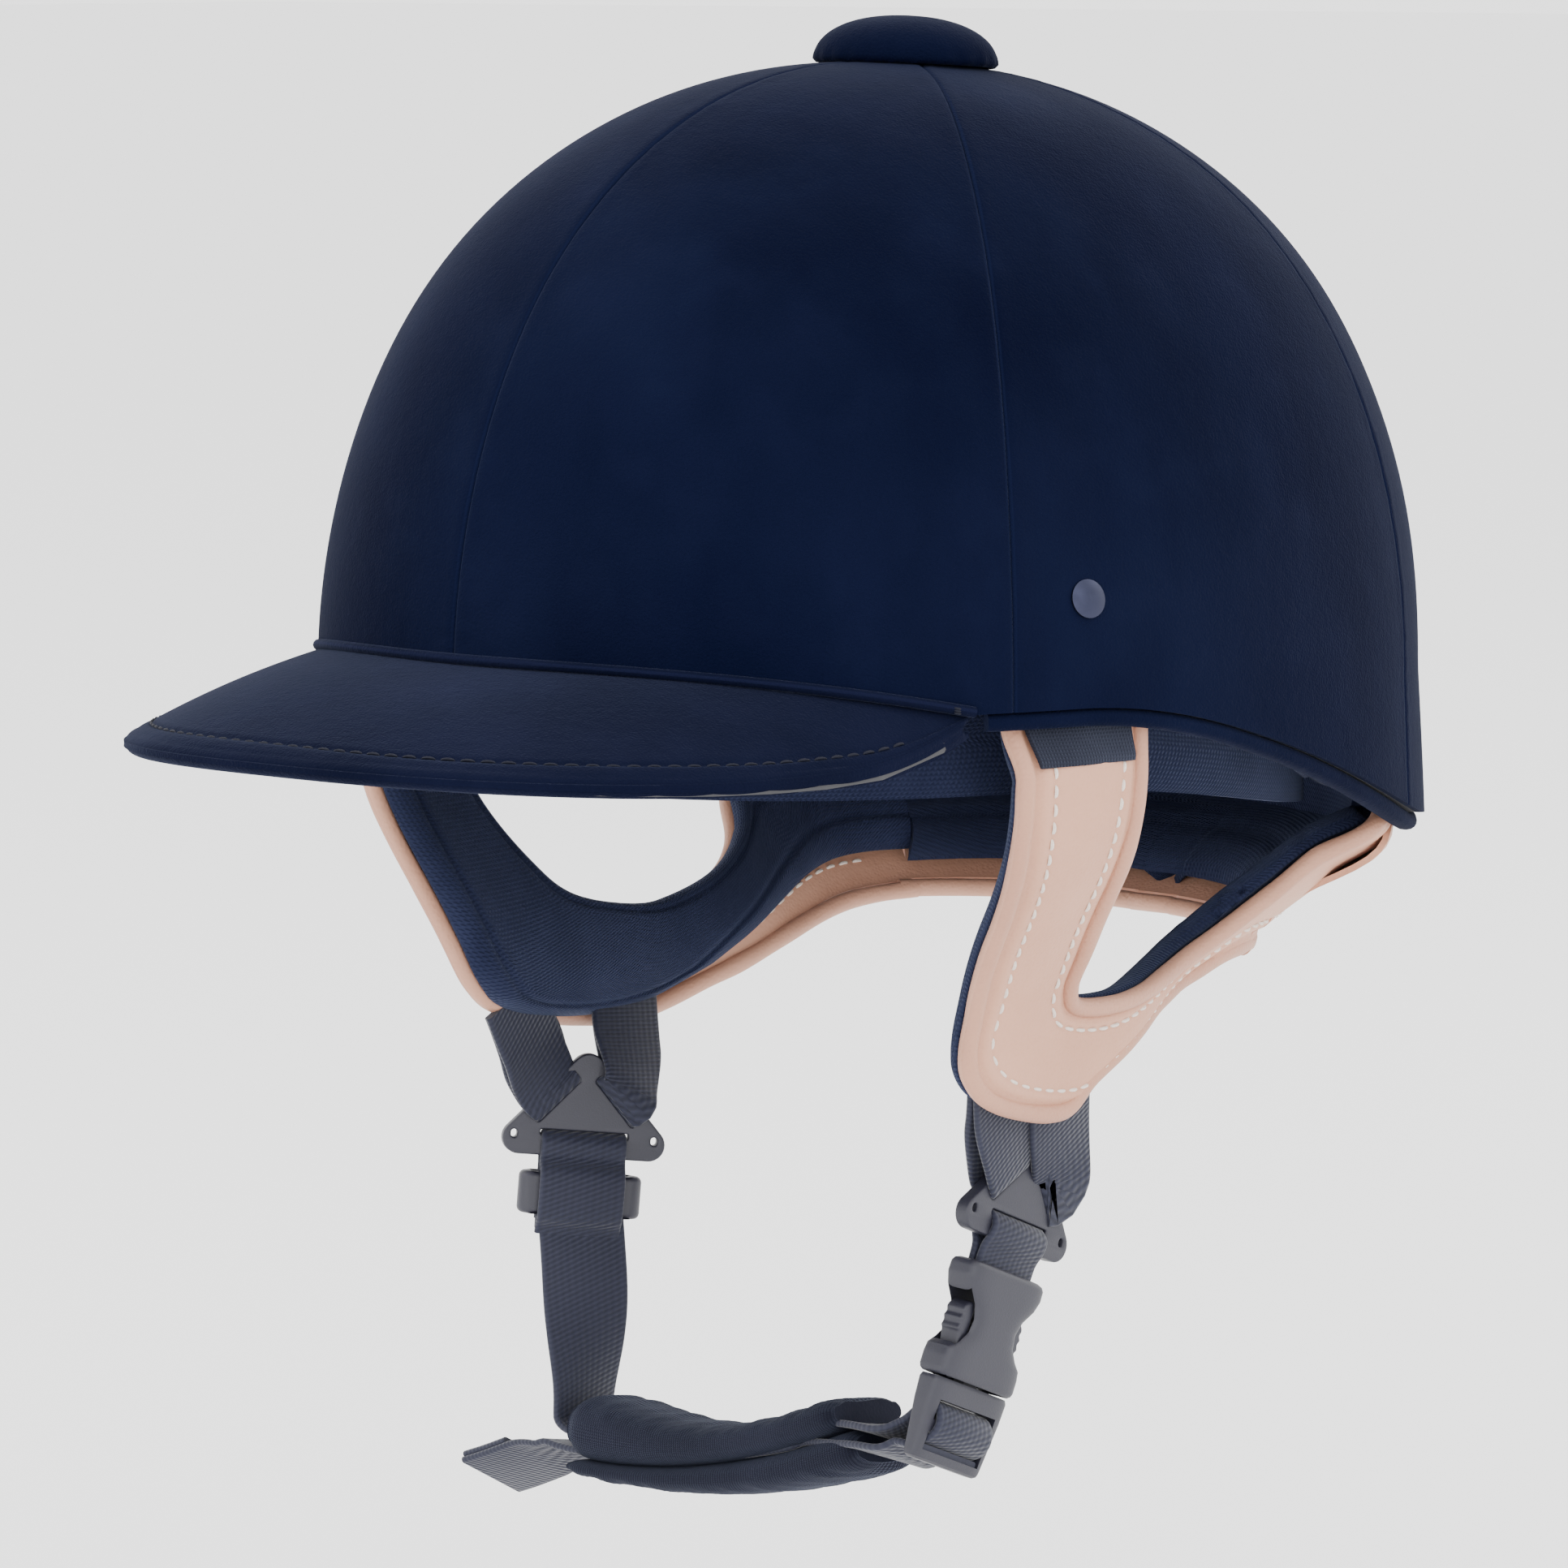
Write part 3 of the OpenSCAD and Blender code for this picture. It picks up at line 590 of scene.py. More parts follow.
@dataclass(frozen=True)
class Jersey:
    """Fine knitted lining, with rows of small stitches or with ribs."""

    name: str
    dark: Colour
    light: Colour
    pitch: float = 0.0011
    rib: float = 0.0

    def make(self) -> bpy.types.Material:
        """Build the material."""
        paint = Paint(self.name)
        across, along = paint.flow()
        turn = 2 * np.pi / self.pitch
        wales = (across * turn).sine() * 0.5 + 0.5
        courses = ((along + wales * (self.pitch * 0.35)) * turn).sine() * 0.5 + 0.5
        knit = wales * 0.55 + courses * 0.45
        if self.rib:
            knit = knit * 0.3 + ((across * (2 * np.pi / self.rib)).sine() * 0.5 + 0.5) * 0.8
        fuzz = paint.noise(1300, 3.0)
        soft = paint.noise(45, 3.0).between(0.3, 0.75)
        paint.relief(knit + fuzz * 0.4, 0.00032, 0.8)
        share = knit * 0.4 + fuzz * 0.25 + soft * 0.4
        return paint.finish(
            Base_Color=paint.blend(share, self.dark, self.light), Roughness=0.9 - 0.1 * soft,
            Sheen_Weight=0.1, Sheen_Roughness=0.5, Sheen_Tint=rgb(0.5, 0.6, 0.9), Specular_IOR_Level=0.15)


@dataclass(frozen=True)
class Moulded:
    """Satin moulded plastic with a fine eroded texture and worn, lighter scuffs."""

    name: str
    face: Colour
    scuff: Colour
    roughness: float = 0.42

    def make(self) -> bpy.types.Material:
        """Build the material."""
        paint = Paint(self.name)
        texture = paint.noise(2600, 3.0)
        scuffs = paint.noise(260, 5.0).between(0.58, 0.8)
        paint.relief(texture + paint.noise(90, 2.0) * 0.8, 0.00009, 0.6)
        return paint.finish(
            Base_Color=paint.blend(scuffs * 0.4 + texture * 0.2, self.face, self.scuff),
            Roughness=self.roughness + 0.14 * texture + 0.1 * scuffs, Specular_IOR_Level=0.5)


@dataclass(frozen=True)
class Metal:
    """Brushed steel with a few dull spots."""

    name: str
    face: Colour

    def make(self) -> bpy.types.Material:
        """Build the material."""
        paint = Paint(self.name)
        brushed = paint.noise(700, 3.0, (1, 1, 9))
        dull = paint.noise(160, 3.0).between(0.5, 0.8)
        paint.relief(brushed, 0.00004, 0.4)
        worn = tuple(0.7 * c for c in self.face[:3]) + (1.0,)
        return paint.finish(
            Base_Color=paint.blend(dull * 0.6, self.face, worn), Metallic=1.0,
            Roughness=0.32 + 0.12 * brushed + 0.1 * dull)


@dataclass(frozen=True)
class Foam:
    """Expanded foam of small pressed beads."""

    name: str
    face: Colour
    joint: Colour

    def make(self) -> bpy.types.Material:
        """Build the material."""
        paint = Paint(self.name)
        beads = paint.cells(260, "DISTANCE_TO_EDGE").between(0.0, 0.12)
        paint.relief(beads + paint.noise(600, 2.0) * 0.3, 0.0004, 0.7)
        return paint.finish(Base_Color=paint.blend(beads, self.joint, self.face), Roughness=0.85 - 0.1 * beads)


@dataclass(frozen=True)
class Thread:
    """Twisted sewing thread."""

    name: str
    face: Colour

    def make(self) -> bpy.types.Material:
        """Build the material."""
        paint = Paint(self.name)
        twist = paint.noise(2400, 2.0)
        paint.relief(twist, 0.00012, 0.8)
        shade = tuple(0.72 * c for c in self.face[:3]) + (1.0,)
        return paint.finish(Base_Color=paint.blend(twist, shade, self.face), Roughness=0.7 + 0.1 * twist,
                            Sheen_Weight=0.03, Specular_IOR_Level=0.2)


class Finish(Enum):
    """The finishes of the helmet's pieces."""

    VELVET = "velvet"
    PEAK = "peak_velvet"
    SHELL = "shell_plastic"
    BOARD = "board"
    FOAM = "liner_foam"
    STEEL = "satin_steel"
    TEXTILE = "edge_textile"
    LINING = "lining"
    LEATHER = "harness_leather"
    PIPING = "piping_leather"
    TAB = "tab_fabric"
    WEBBING = "webbing"
    PLASTIC = "buckle_plastic"
    PAD = "chin_fabric"
    WHITE_THREAD = "white_thread"
    NAVY_THREAD = "navy_thread"


RECIPES = {
    Finish.VELVET: Velvet("navy_velvet", rgb(0.0003, 0.0010, 0.0078), rgb(0.0026, 0.0044, 0.0180), 0.035),
    # The peak's velvet is the crown's velvet painted a little lighter: painted sheen of the peak's top, which
    # catches the light at a grazing view; its under cover and seam cord share the copy.
    Finish.PEAK: Velvet("peak_velvet", rgb(0.0010, 0.0018, 0.0085), rgb(0.0042, 0.0055, 0.0190), 0.07),
    Finish.SHELL: Moulded("shell_plastic", rgb(0.02, 0.02, 0.024), rgb(0.05, 0.05, 0.055), 0.5),
    Finish.BOARD: Moulded("peak_board", rgb(0.02, 0.02, 0.024), rgb(0.05, 0.05, 0.055), 0.55),
    Finish.FOAM: Foam("liner_foam", rgb(0.62, 0.62, 0.64), rgb(0.36, 0.36, 0.38)),
    Finish.STEEL: Metal("rivet_steel", rgb(0.035, 0.038, 0.065)),
    Finish.TEXTILE: Jersey("edge_textile", rgb(0.013, 0.015, 0.032), rgb(0.052, 0.056, 0.095), 0.0009, 0.0016),
    Finish.LINING: Jersey("navy_lining", rgb(0.0045, 0.0068, 0.0230), rgb(0.0170, 0.0220, 0.0560)),
    Finish.LEATHER: Leather("harness_leather", rgb(0.57, 0.305, 0.205), rgb(0.46, 0.23, 0.15)),
    Finish.PIPING: Leather("piping_leather", rgb(0.52, 0.275, 0.185), rgb(0.42, 0.21, 0.14), 0.45),
    Finish.TAB: Jersey("tab_fabric", rgb(0.008, 0.009, 0.016), rgb(0.022, 0.025, 0.04), 0.0008),
    Finish.WEBBING: Webbing("navy_webbing", rgb(0.0026, 0.0033, 0.0100), rgb(0.0150, 0.0170, 0.0370)),
    Finish.PLASTIC: Moulded("buckle_plastic", rgb(0.011, 0.011, 0.020), rgb(0.029, 0.028, 0.044)),
    Finish.PAD: Jersey("chin_fabric", rgb(0.0016, 0.0018, 0.0060), rgb(0.0065, 0.0070, 0.0175), 0.0006),
    Finish.WHITE_THREAD: Thread("white_thread", rgb(0.80, 0.70, 0.62)),
    Finish.NAVY_THREAD: Thread("navy_thread", rgb(0.004, 0.005, 0.013)),
}


class Workshop:
    """Turns solids into pieces: meshes with a finish, on a body of the frame."""

    def __init__(self) -> None:
        """Start with no material made."""
        self.materials: dict[Finish, bpy.types.Material] = {}

    def material(self, finish: Finish) -> bpy.types.Material:
        """The material of a finish, made once."""
        if finish not in self.materials:
            self.materials[finish] = RECIPES[finish].make()
        return self.materials[finish]

    def mesh(self, name: str, solid: Solid, crease: float = 50.0) -> bpy.types.Object:
        """Make a smooth-shaded mesh object from a solid.

        Args:
            name: The piece's name.
            solid: Its points, faces and flow map.
            crease: Angle in degrees above which an edge stays sharp.

        Returns:
            The object.
        """
        data = bpy.data.meshes.new(name)
        data.from_pydata((solid.points * MM).tolist(), [], solid.faces)
        layer = data.uv_layers.new(name="flow")
        layer.data.foreach_set("uv", np.array([uv for face in solid.flow for uv in face], np.float32).ravel())
        work = bmesh.new()
        work.from_mesh(data)
        bmesh.ops.recalc_face_normals(work, faces=work.faces)
        work.to_mesh(data)
        work.free()
        return self._shown(name, data, crease)

    def _shown(self, name: str, data: bpy.types.Mesh, crease: float) -> bpy.types.Object:
        """Link a mesh to the scene with smooth shading."""
        data.polygons.foreach_set("use_smooth", [True] * len(data.polygons))
        data.set_sharp_from_angle(angle=np.radians(crease))
        piece = bpy.data.objects.new(name, data)
        bpy.context.scene.collection.objects.link(piece)
        return piece

    def plate(self, name: str, outline: Array, holes: list, thick: float, bevel: float,
              place: "Placer") -> bpy.types.Object:
        """A moulded plate with rounded edges.

        Args:
            name: The piece's name.
            outline: The outline's points, in the plate's plane.
            holes: Outlines of holes.
            thick: Thickness of the plate.
            bevel: Radius of its edges.
            place: Maps the plate's own points, thickness last, to the helmet.

        Returns:
            The object.
        """
        curve = bpy.data.curves.new(name, "CURVE")
        curve.dimensions = "2D"
        curve.fill_mode = "BOTH"
        for ring in [outline, *holes]:
            spline = curve.splines.new("POLY")
            spline.points.add(len(ring) - 1)
            for point, (x, y) in zip(spline.points, ring):
                point.co = (x, y, 0, 1)
            spline.use_cyclic_u = True
        curve.extrude = thick / 2 - bevel
        curve.bevel_depth = bevel
        curve.bevel_resolution = 3
        curve.offset = -bevel
        holder = bpy.data.objects.new(name + "_outline", curve)
        bpy.context.scene.collection.objects.link(holder)
        data = bpy.data.meshes.new_from_object(holder.evaluated_get(bpy.context.evaluated_depsgraph_get()))
        bpy.data.objects.remove(holder)
        points = np.empty(len(data.vertices) * 3, np.float32)
        data.vertices.foreach_get("co", points)
        data.vertices.foreach_set("co", (place(points.reshape(-1, 3).astype(float)) * MM).ravel())
        work = bmesh.new()
        work.from_mesh(data)
        bmesh.ops.remove_doubles(work, verts=work.verts, dist=1e-6)
        bmesh.ops.recalc_face_normals(work, faces=work.faces)
        work.to_mesh(data)
        work.free()
        data.materials.clear()
        return self._shown(name, data, 35.0)

    def cut(self, piece: bpy.types.Object, *tools: Solid) -> None:
        """Cut closed solids out of a piece."""
        for solid in tools:
            tool = self.mesh(piece.name + "_cutter", solid)
            change = piece.modifiers.new("cut", "BOOLEAN")
            change.operation = "DIFFERENCE"
            change.solver = "EXACT"
            change.object = tool
            data = bpy.data.meshes.new_from_object(piece.evaluated_get(bpy.context.evaluated_depsgraph_get()))
            piece.modifiers.remove(change)
            piece.data = data
            bpy.data.objects.remove(tool)
        piece.data.set_sharp_from_angle(angle=np.radians(35))

    def dress(self, piece: bpy.types.Object, finish: Finish, body: str, *nodes: str) -> bpy.types.Object:
        """Give a piece its finish, its body and the frame nodes that it stands for."""
        piece.data.materials.clear()
        piece.data.materials.append(self.material(finish))
        if body:
            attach(piece, body)
        if nodes:
            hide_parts(*nodes)
        log.info("%s: %d faces, %s", piece.name, len(piece.data.polygons), finish.value)
        return piece

    def paint_node(self, node: str, finish: Finish) -> None:
        """Give a frame node that stays in view its finish."""
        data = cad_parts[node].data
        data.materials.clear()
        data.materials.append(self.material(finish))
        log.info("%s keeps its frame shape, %s", node, finish.value)


# ---- Crown ----


@dataclass(frozen=True)
class CrownForm:
    """The crown's surface, shared by the shell, its cover and what lies inside."""

    half_w: float = 105.5
    reach_front: float = 132.0
    reach_back: float = 142.0
    height: float = 133.5
    power: float = 2.2
    button_y: float = 12.5
    rim_side: float = 4.2
    rim_back: float = -33.0
    seam_h: float = 14.0
    peak_end: float = 57.0
    rows_up: int = 9
    rows_low: int = 3

    def axes(self, depth: float) -> Array:
        """Half axes at a depth below the velvet: side, front, back, height."""
        return np.array([self.half_w, self.reach_front, self.reach_back, self.height]) - depth

    def reach(self, ax: Array, y: Array) -> Array:
        """Reach along Y on the side of a point."""
        return np.where(np.asarray(y) < 0, ax[1], ax[2])

    def ring_size(self, ax: Array, z: Array) -> Array:
        """Size of the ring at a height, as a share of the rim."""
        z = np.asarray(z, float)
        up = (1 - np.clip(z / ax[3], 0, 1) ** self.power) ** (1 / self.power)
        return np.where(z > 0, up, 1 - 0.0004 * z)

    def height_at(self, ax: Array, r: Array) -> Array:
        """Height of a ring of a size."""
        return ax[3] * np.maximum(0, 1 - np.asarray(r, float) ** self.power) ** (1 / self.power)

    def rim_point(self, ax: Array, phi: Array) -> Array:
        """Point of the rim in plan at an angle from the front, in degrees."""
        c = cosd(phi)
        return np.stack([ax[0] * sind(phi), -np.where(c > 0, ax[1], ax[2]) * c], axis=-1)

    def _share(self, side: float, reach: float, e: Array, r: Array) -> Array:
        """Share of the way from the button to a rim point where a ring is met."""
        ex, ey, c0 = e[..., 0] / side, (e[..., 1] - self.button_y) / reach, self.button_y / reach
        a, b, c = ex * ex + ey * ey, 2 * c0 * ey, c0 * c0 - r * r
        return (-b + np.sqrt(np.maximum(0, b * b - 4 * a * c))) / (2 * a)

    def ray_share(self, ax: Array, phi: Array, r: Array) -> Array:
        """The same share, with the front or back reach as the point needs."""
        e = self.rim_point(ax, phi)
        front = self._share(ax[0], ax[1], e, r)
        y = self.button_y + front * (e[..., 1] - self.button_y)
        return np.where(y <= 0, front, self._share(ax[0], ax[2], e, r))

    def plan(self, ax: Array, phi: Array, t: Array) -> Array:
        """Point in plan a share of the way from the button to the rim."""
        e = self.rim_point(ax, phi)
        return np.stack([e[..., 0] * t, self.button_y + (e[..., 1] - self.button_y) * t], axis=-1)

    def rim_z(self, phi: Array) -> Array:
        """Height of the shell's lower edge."""
        fold = np.where(np.asarray(phi) > 180, 360 - np.asarray(phi), phi)
        return mix(self.rim_side, self.rim_back, smooth01((fold - 68) / 70))

    def cover_z(self, phi: Array) -> Array:
        """Height of the velvet's lower edge, which lies on the peak at the front."""
        fold = np.where(np.asarray(phi) > 180, 360 - np.asarray(phi), phi)
        front = mix(self.seam_h, self.rim_side, (np.minimum(fold, self.peak_end) / self.peak_end) ** 2.6)
        return np.where(fold > self.peak_end, self.rim_z(phi), front)

    def point(self, depth: float, phi: Array, row: Array, start: float, low: Array) -> Array:
        """Point of a layer.

        Args:
            depth: Depth below the velvet, or four half axes.
            phi: Angle round the crown.
            row: 0 at the button, rows_up where the wall turns down, and rows_low more to the edge.
            start: Share of the way from the button where row 0 lies.
            low: Height of the lower edge.

        Returns:
            The points.
        """
        ax = self.axes(depth) if np.ndim(depth) == 0 else np.asarray(depth, float)
        phi, row, low = np.broadcast_arrays(*(np.asarray(v, float) for v in (phi, row, low)))
        z_turn = np.maximum(0, low) + 7
        t_turn = self.ray_share(ax, phi, self.ring_size(ax, z_turn))
        upper = row <= self.rows_up
        t_up = start + (t_turn - start) * sind(90 * np.minimum(row, self.rows_up) / self.rows_up)
        z_low = mix(z_turn, low, np.maximum(0, row - self.rows_up) / self.rows_low)
        t = np.where(upper, t_up, self.ray_share(ax, phi, self.ring_size(ax, z_low)))
        p = self.plan(ax, phi, t)
        size = np.hypot(p[..., 0] / ax[0], p[..., 1] / self.reach(ax, p[..., 1]))
        return np.stack([p[..., 0], p[..., 1], np.where(upper, self.height_at(ax, size), z_low)], axis=-1)


FORM = CrownForm()


@dataclass
class Crown:
    """Shell, six velvet gores, button, and the binding round the rim."""

    shop: Workshop
    seams: tuple = (0, 61, 121, 180, 239, 299, 360)
    names: tuple = ("front_left", "side_left", "rear_left", "rear_right", "side_right", "front_right")
    cover: float = 1.2
    gap: float = 0.3
    shell: float = 2.6
    rows: int = 76
    button_r: float = 20.0
    button_h: float = 10.0
    button_tilt: float = 3.5

    def build(self) -> None:
        """Build and dress every piece."""
        for index, name in enumerate(self.names):
            self.gore(index, name)
        self.shell_body()
        self.button()
        self.binding()
        self.rivets()

    def gore(self, index: int, name: str) -> None:
        """One velvet gore, sunk along its seams and puckered by them."""
        a, b = self.seams[index], self.seams[index + 1]
        near = np.array([0, 0.5, 1.0, 1.6, 2.3, 3.1, 4.2, 5.6, 7.5, 10, 13.5]) / 118
        cols = np.concatenate([near, np.linspace(0.145, 0.855, 18), 1 - near[::-1]])
        row = np.linspace(0, FORM.rows_up + FORM.rows_low, self.rows)[::-1]
        phi, rows = np.meshgrid(mix(a, b, cols), row)
        base = FORM.point(0, phi, rows, 0.05, FORM.cover_z(phi))
        normal = face_normals(base, (0, 0, -20))
        steps = np.concatenate([np.zeros((len(row), 1)), np.cumsum(
            np.linalg.norm(np.diff(base, axis=1), axis=2), axis=1)], axis=1)
        seam = np.minimum(steps, steps[:, -1:] - steps)
        down = np.cumsum(np.linalg.norm(np.diff(base, axis=0, prepend=base[:1]), axis=2), axis=0)
        uneven = Waves(11 + index, 5, 0.03, 0.09)
        pucker = np.sin(down * 2 * np.pi / 5.4 + uneven(down) * 2) * bump_at(seam, 2.4, 2.2)
        rise = (-0.5 * bump_at(seam, 0, 0.45) + 0.10 * bump_at(seam, 2.2, 1.2) + 0.07 * pucker
                + 0.10 * uneven(down * 1.3 + seam * 0.7))
        rise *= smooth01(steps[:, -1:] / 30)
        outer = base + normal * rise[..., None]
        inner = base - normal * self.cover
        flow = np.stack([seam, down], axis=-1) * MM
        piece = self.shop.mesh(f"velvet_{name}", shell_between(outer, inner, flow=flow), 70)
        self.shop.dress(piece, Finish.VELVET, "helmet", f"panel_{name}")

    def shell_body(self) -> None:
        """The moulded hard shell under the velvet."""
        row = np.linspace(0, FORM.rows_up + FORM.rows_low, 48)[::-1]
        phi, rows = np.meshgrid(np.linspace(0, 360, 120, endpoint=False), row)
        low = FORM.rim_z(phi)
        outer = FORM.point(self.cover + self.gap, phi, rows, 0.035, low)
        inner = FORM.point(self.cover + self.gap + self.shell, phi, rows, 0.035, low)
        piece = self.shop.mesh("hard_shell", shell_between(outer, inner, True, grid_flow(outer, True)))
        self.shop.dress(piece, Finish.SHELL, "helmet", "outer_shell")

    def button(self) -> None:
        """The velvet button, a low dome gathered under its edge."""
        a = np.linspace(0, 90, 22)
        radius = np.concatenate([[9.0, 13, 17.5, self.button_r - 0.7], self.button_r * cosd(a) ** 0.9])
        height = np.concatenate([[0.4, 0.1, -0.45, -0.8], self.button_h * sind(a) ** 0.95])
        turn = np.linspace(0, 360, 96, endpoint=False)
        pleats = 0.22 * np.cos(np.radians(turn * 24))[None] * bump_at(height, 0.2, 1.6)[:, None]
        r = np.maximum(radius[:, None] - pleats * (radius[:, None] > 3), 0.05)
        grid = np.stack(np.broadcast_arrays(r * cosd(turn), r * sind(turn), height[:, None]), axis=-1)
        c, s = cosd(self.button_tilt), sind(self.button_tilt)
        tilt = np.array([[1, 0, 0], [0, c, s], [0, -s, c]])
        place = np.array([0, FORM.button_y, FORM.height_at(FORM.axes(0), FORM.button_y / FORM.reach_back)])
        flow = np.full((len(radius), 97, 2), 0.01)
        piece = self.shop.mesh("velvet_button", lofted(grid @ tilt.T + place, flow), 60)
        self.shop.dress(piece, Finish.VELVET, "helmet", "crown_button")
        self.shop.paint_node("button_stud", Finish.STEEL)

    def binding(self) -> None:
        """Velvet binding rolled round the shell's lower edge."""
        phi = np.linspace(FORM.peak_end + 1.5, 358.5 - FORM.peak_end, 220)
        plan = FORM.rim_point(FORM.axes(2.4), phi)
        z = FORM.rim_z(phi) - 2.0
        path = np.stack([plan[:, 0], plan[:, 1], z], axis=1)
        outward = unit(np.stack([plan[:, 0], plan[:, 1], 0 * z], axis=1))
        run = run_of(path)
        up = unit(np.cross(outward, run))
        up *= np.sign(up[:, 2:3])
        turn = np.linspace(0, 360, 16, endpoint=False)
        wave = Waves(5, 4, 0.2, 0.5)(phi)[:, None, None]
        rings = path[:, None] + (2.5 + 0.07 * wave) * np.sign(cosd(turn))[None, :, None] * (
            np.abs(cosd(turn))[None, :, None] ** 0.8) * outward[:, None] + 1.9 * sind(
            turn)[None, :, None] * up[:, None]
        flow = np.full((len(phi), 17, 2), 0.01)
        piece = self.shop.mesh("rim_roll", lofted(rings, flow), 60)
        self.shop.dress(piece, Finish.VELVET, "helmet", "rim_binding")

    def rivets(self) -> None:
        """The rivets, washers and webbing tabs keep their frame shapes."""
        self.shop.paint_node("anchor_rivets", Finish.STEEL)
        self.shop.paint_node("anchor_washers", Finish.STEEL)
        self.shop.paint_node("anchor_tabs", Finish.WEBBING)


# ---- Peak ----


@dataclass
class Peak:
    """The peak: a board between two velvet covers that meet at a rounded edge."""

    shop: Workshop
    tip: float = 186.0
    tip_h: float = -1.5
    thick: float = 4.3
    skin: float = 1.0
    stitch_in: float = 4.5

    def edge(self, s: Array) -> Array:
        """Point of the peak's edge, s from -1 to 1 round it."""
        end = FORM.rim_point(FORM.axes(0), FORM.peak_end)
        u = np.abs(cosd(90 * s)) ** 0.803
        w = np.abs(sind(90 * s)) ** 0.803 * np.sign(s)
        z = (-4.4 + (FORM.rim_side + 4.4) * (1 - np.minimum(1, u / 0.35)) ** 2
             + (self.tip_h + 4.4) * np.maximum(0, 2 * u - 1) ** 1.5)
        return np.stack([end[0] * w, end[1] + (-self.tip - end[1]) * u, z], axis=-1)

    def root(self, s: Array) -> Array:
        """Point where the peak meets the crown."""
        ax = FORM.axes(0.8)
        phi = FORM.peak_end * s
        z = FORM.cover_z(np.abs(phi)) - 0.4
        plan = FORM.rim_point(ax, phi) * FORM.ring_size(ax, z)[..., None]
        return np.stack([plan[..., 0], plan[..., 1], z], axis=-1)

    def top(self, s: Array, v: Array) -> Array:
        """Point of the top face, v from 0 at the crown to 1 at the edge."""
        lift = 10 * v * (1 - v) * cosd(90 * s)
        return mix(self.root(s), self.edge(s), v[..., None]) + np.stack([0 * lift, 0 * lift, lift], axis=-1)

    def build(self) -> None:
        """Build the covers, the seam cord and the stitches."""
        self.cover_piece("peak_velvet_top", "peak_top_cover", True)
        self.cover_piece("peak_velvet_under", "peak_under_cover", False)
        self.shop.paint_node("peak_board", Finish.BOARD)
        self.seam_cord()
        self.topstitch()

    def cover_piece(self, name: str, node: str, upper: bool) -> None:
        """One cover, rolled over half of the peak's edge."""
        radius = self.thick / 2
        s_line = np.linspace(-0.99, 0.99, 161)
        length = np.linalg.norm(self.edge(s_line) - self.root(s_line), axis=1)
        v_end = 1 - np.minimum(0.6, radius / length)
        share = np.concatenate([np.linspace(0, 0.86, 18), np.linspace(0.88, 1, 14)])
        s, k = np.meshgrid(s_line, share)
        face = self.top(s, k * v_end[None])
        rim = self.top(s_line, v_end)
        out = unit(self.edge(s_line) - self.root(s_line))
        roll = [rim + radius * (sind(a) * out + (cosd(a) - 1) * np.array([0, 0, 1.0])) for a in range(15, 91, 15)]
        line = np.concatenate([face, np.array(roll)])
        edge_d = (1 - np.concatenate([share, np.ones(len(roll))]))[:, None] * length[None]
        ease = smooth01(length / 12)[None]
        fold = Waves(23, 6, 0.02, 0.08)
        rise = (-0.45 * bump_at(edge_d, self.stitch_in, 0.7) + 0.2 * bump_at(edge_d, 2.2, 1.4)
                + 0.14 * fold(line[..., 0] + 0.5 * line[..., 1])) * ease
        line = line + np.array([0, 0, 1.0]) * (rise * (edge_d > 0.01))[..., None]
        flow = np.stack(np.broadcast_arrays(0.02 + 0 * edge_d, edge_d), axis=-1) * 1.0
        flow[..., 1] *= MM
        if not upper:
            depth = 2 * (line[..., 2] - (rim[None, :, 2] - radius))
            above = np.concatenate([np.full(len(share), True), np.full(len(roll), False)])[:, None]
            line[..., 2] -= np.where(above, self.thick, depth)
        inward = np.array([0, 0, -self.skin if upper else self.skin])
        pull = np.concatenate([np.zeros(len(share)), np.linspace(0.15, 1, len(roll))])[:, None, None]
        inner = line + inward * (1 - pull) - out[None] * self.skin * pull
        piece = self.shop.mesh(name, shell_between(line, inner, flow=flow), 70)
        self.shop.dress(piece, Finish.PEAK, "helmet", node)

    def seam_cord(self) -> None:
        """A thin velvet cord in the seam between peak and crown, with a bar of thread at each end."""
        s = np.linspace(-1, 1, 150)
        path = self.root(s) + np.array([0, 0, 0.9])
        out = unit(path * np.array([1, 1, 0.0]))
        piece = self.shop.mesh("peak_seam_cord", tube(path + out * 0.9, 1.15, (0, 0, 1), 12), 70)
        self.shop.dress(piece, Finish.PEAK, "helmet")
        bars = None
        for side in (-1, 1):
            spot = self.root(np.array([0.975 * side]))[0]
            away = unit(spot * np.array([1, 1, 0.0]))
            along = unit(self.root(np.array([0.95 * side]))[0] - spot)
            for k in range(3):
                start = spot + away * 2.0 + np.array([0, 0, 1.2 - 0.5 * k])
                line = start[None] + along[None] * np.linspace(0, 2.2, 6)[:, None]
                bar = stitches(line, np.repeat(away[None], 6, axis=0), 1.6, 0.1, 0.24)
                bars = bar if bars is None else bars.joined(bar)
        self.shop.dress(self.shop.mesh("peak_bar_tacks", bars), Finish.NAVY_THREAD, "helmet")

    def topstitch(self) -> None:
        """The row of stitches along the peak's edge, on its top face."""
        s = np.linspace(-0.93, 0.93, 600)
        length = np.linalg.norm(self.edge(s) - self.root(s), axis=1)
        v = 1 - np.minimum(0.9, self.stitch_in / length)
        path = self.top(s, v * (1 - self.thick / 2 / length)) + np.array([0, 0, -0.3])
        up = np.repeat(np.array([[0, 0, 1.0]]), len(s), axis=0)
        row = stitches(even_path(path, 0.8), up[:1].repeat(len(even_path(path, 0.8)), axis=0), 3.0, 1.1, 0.3)
        self.shop.dress(self.shop.mesh("peak_topstitch", row), Finish.NAVY_THREAD, "helmet")


# ---- Inside ----


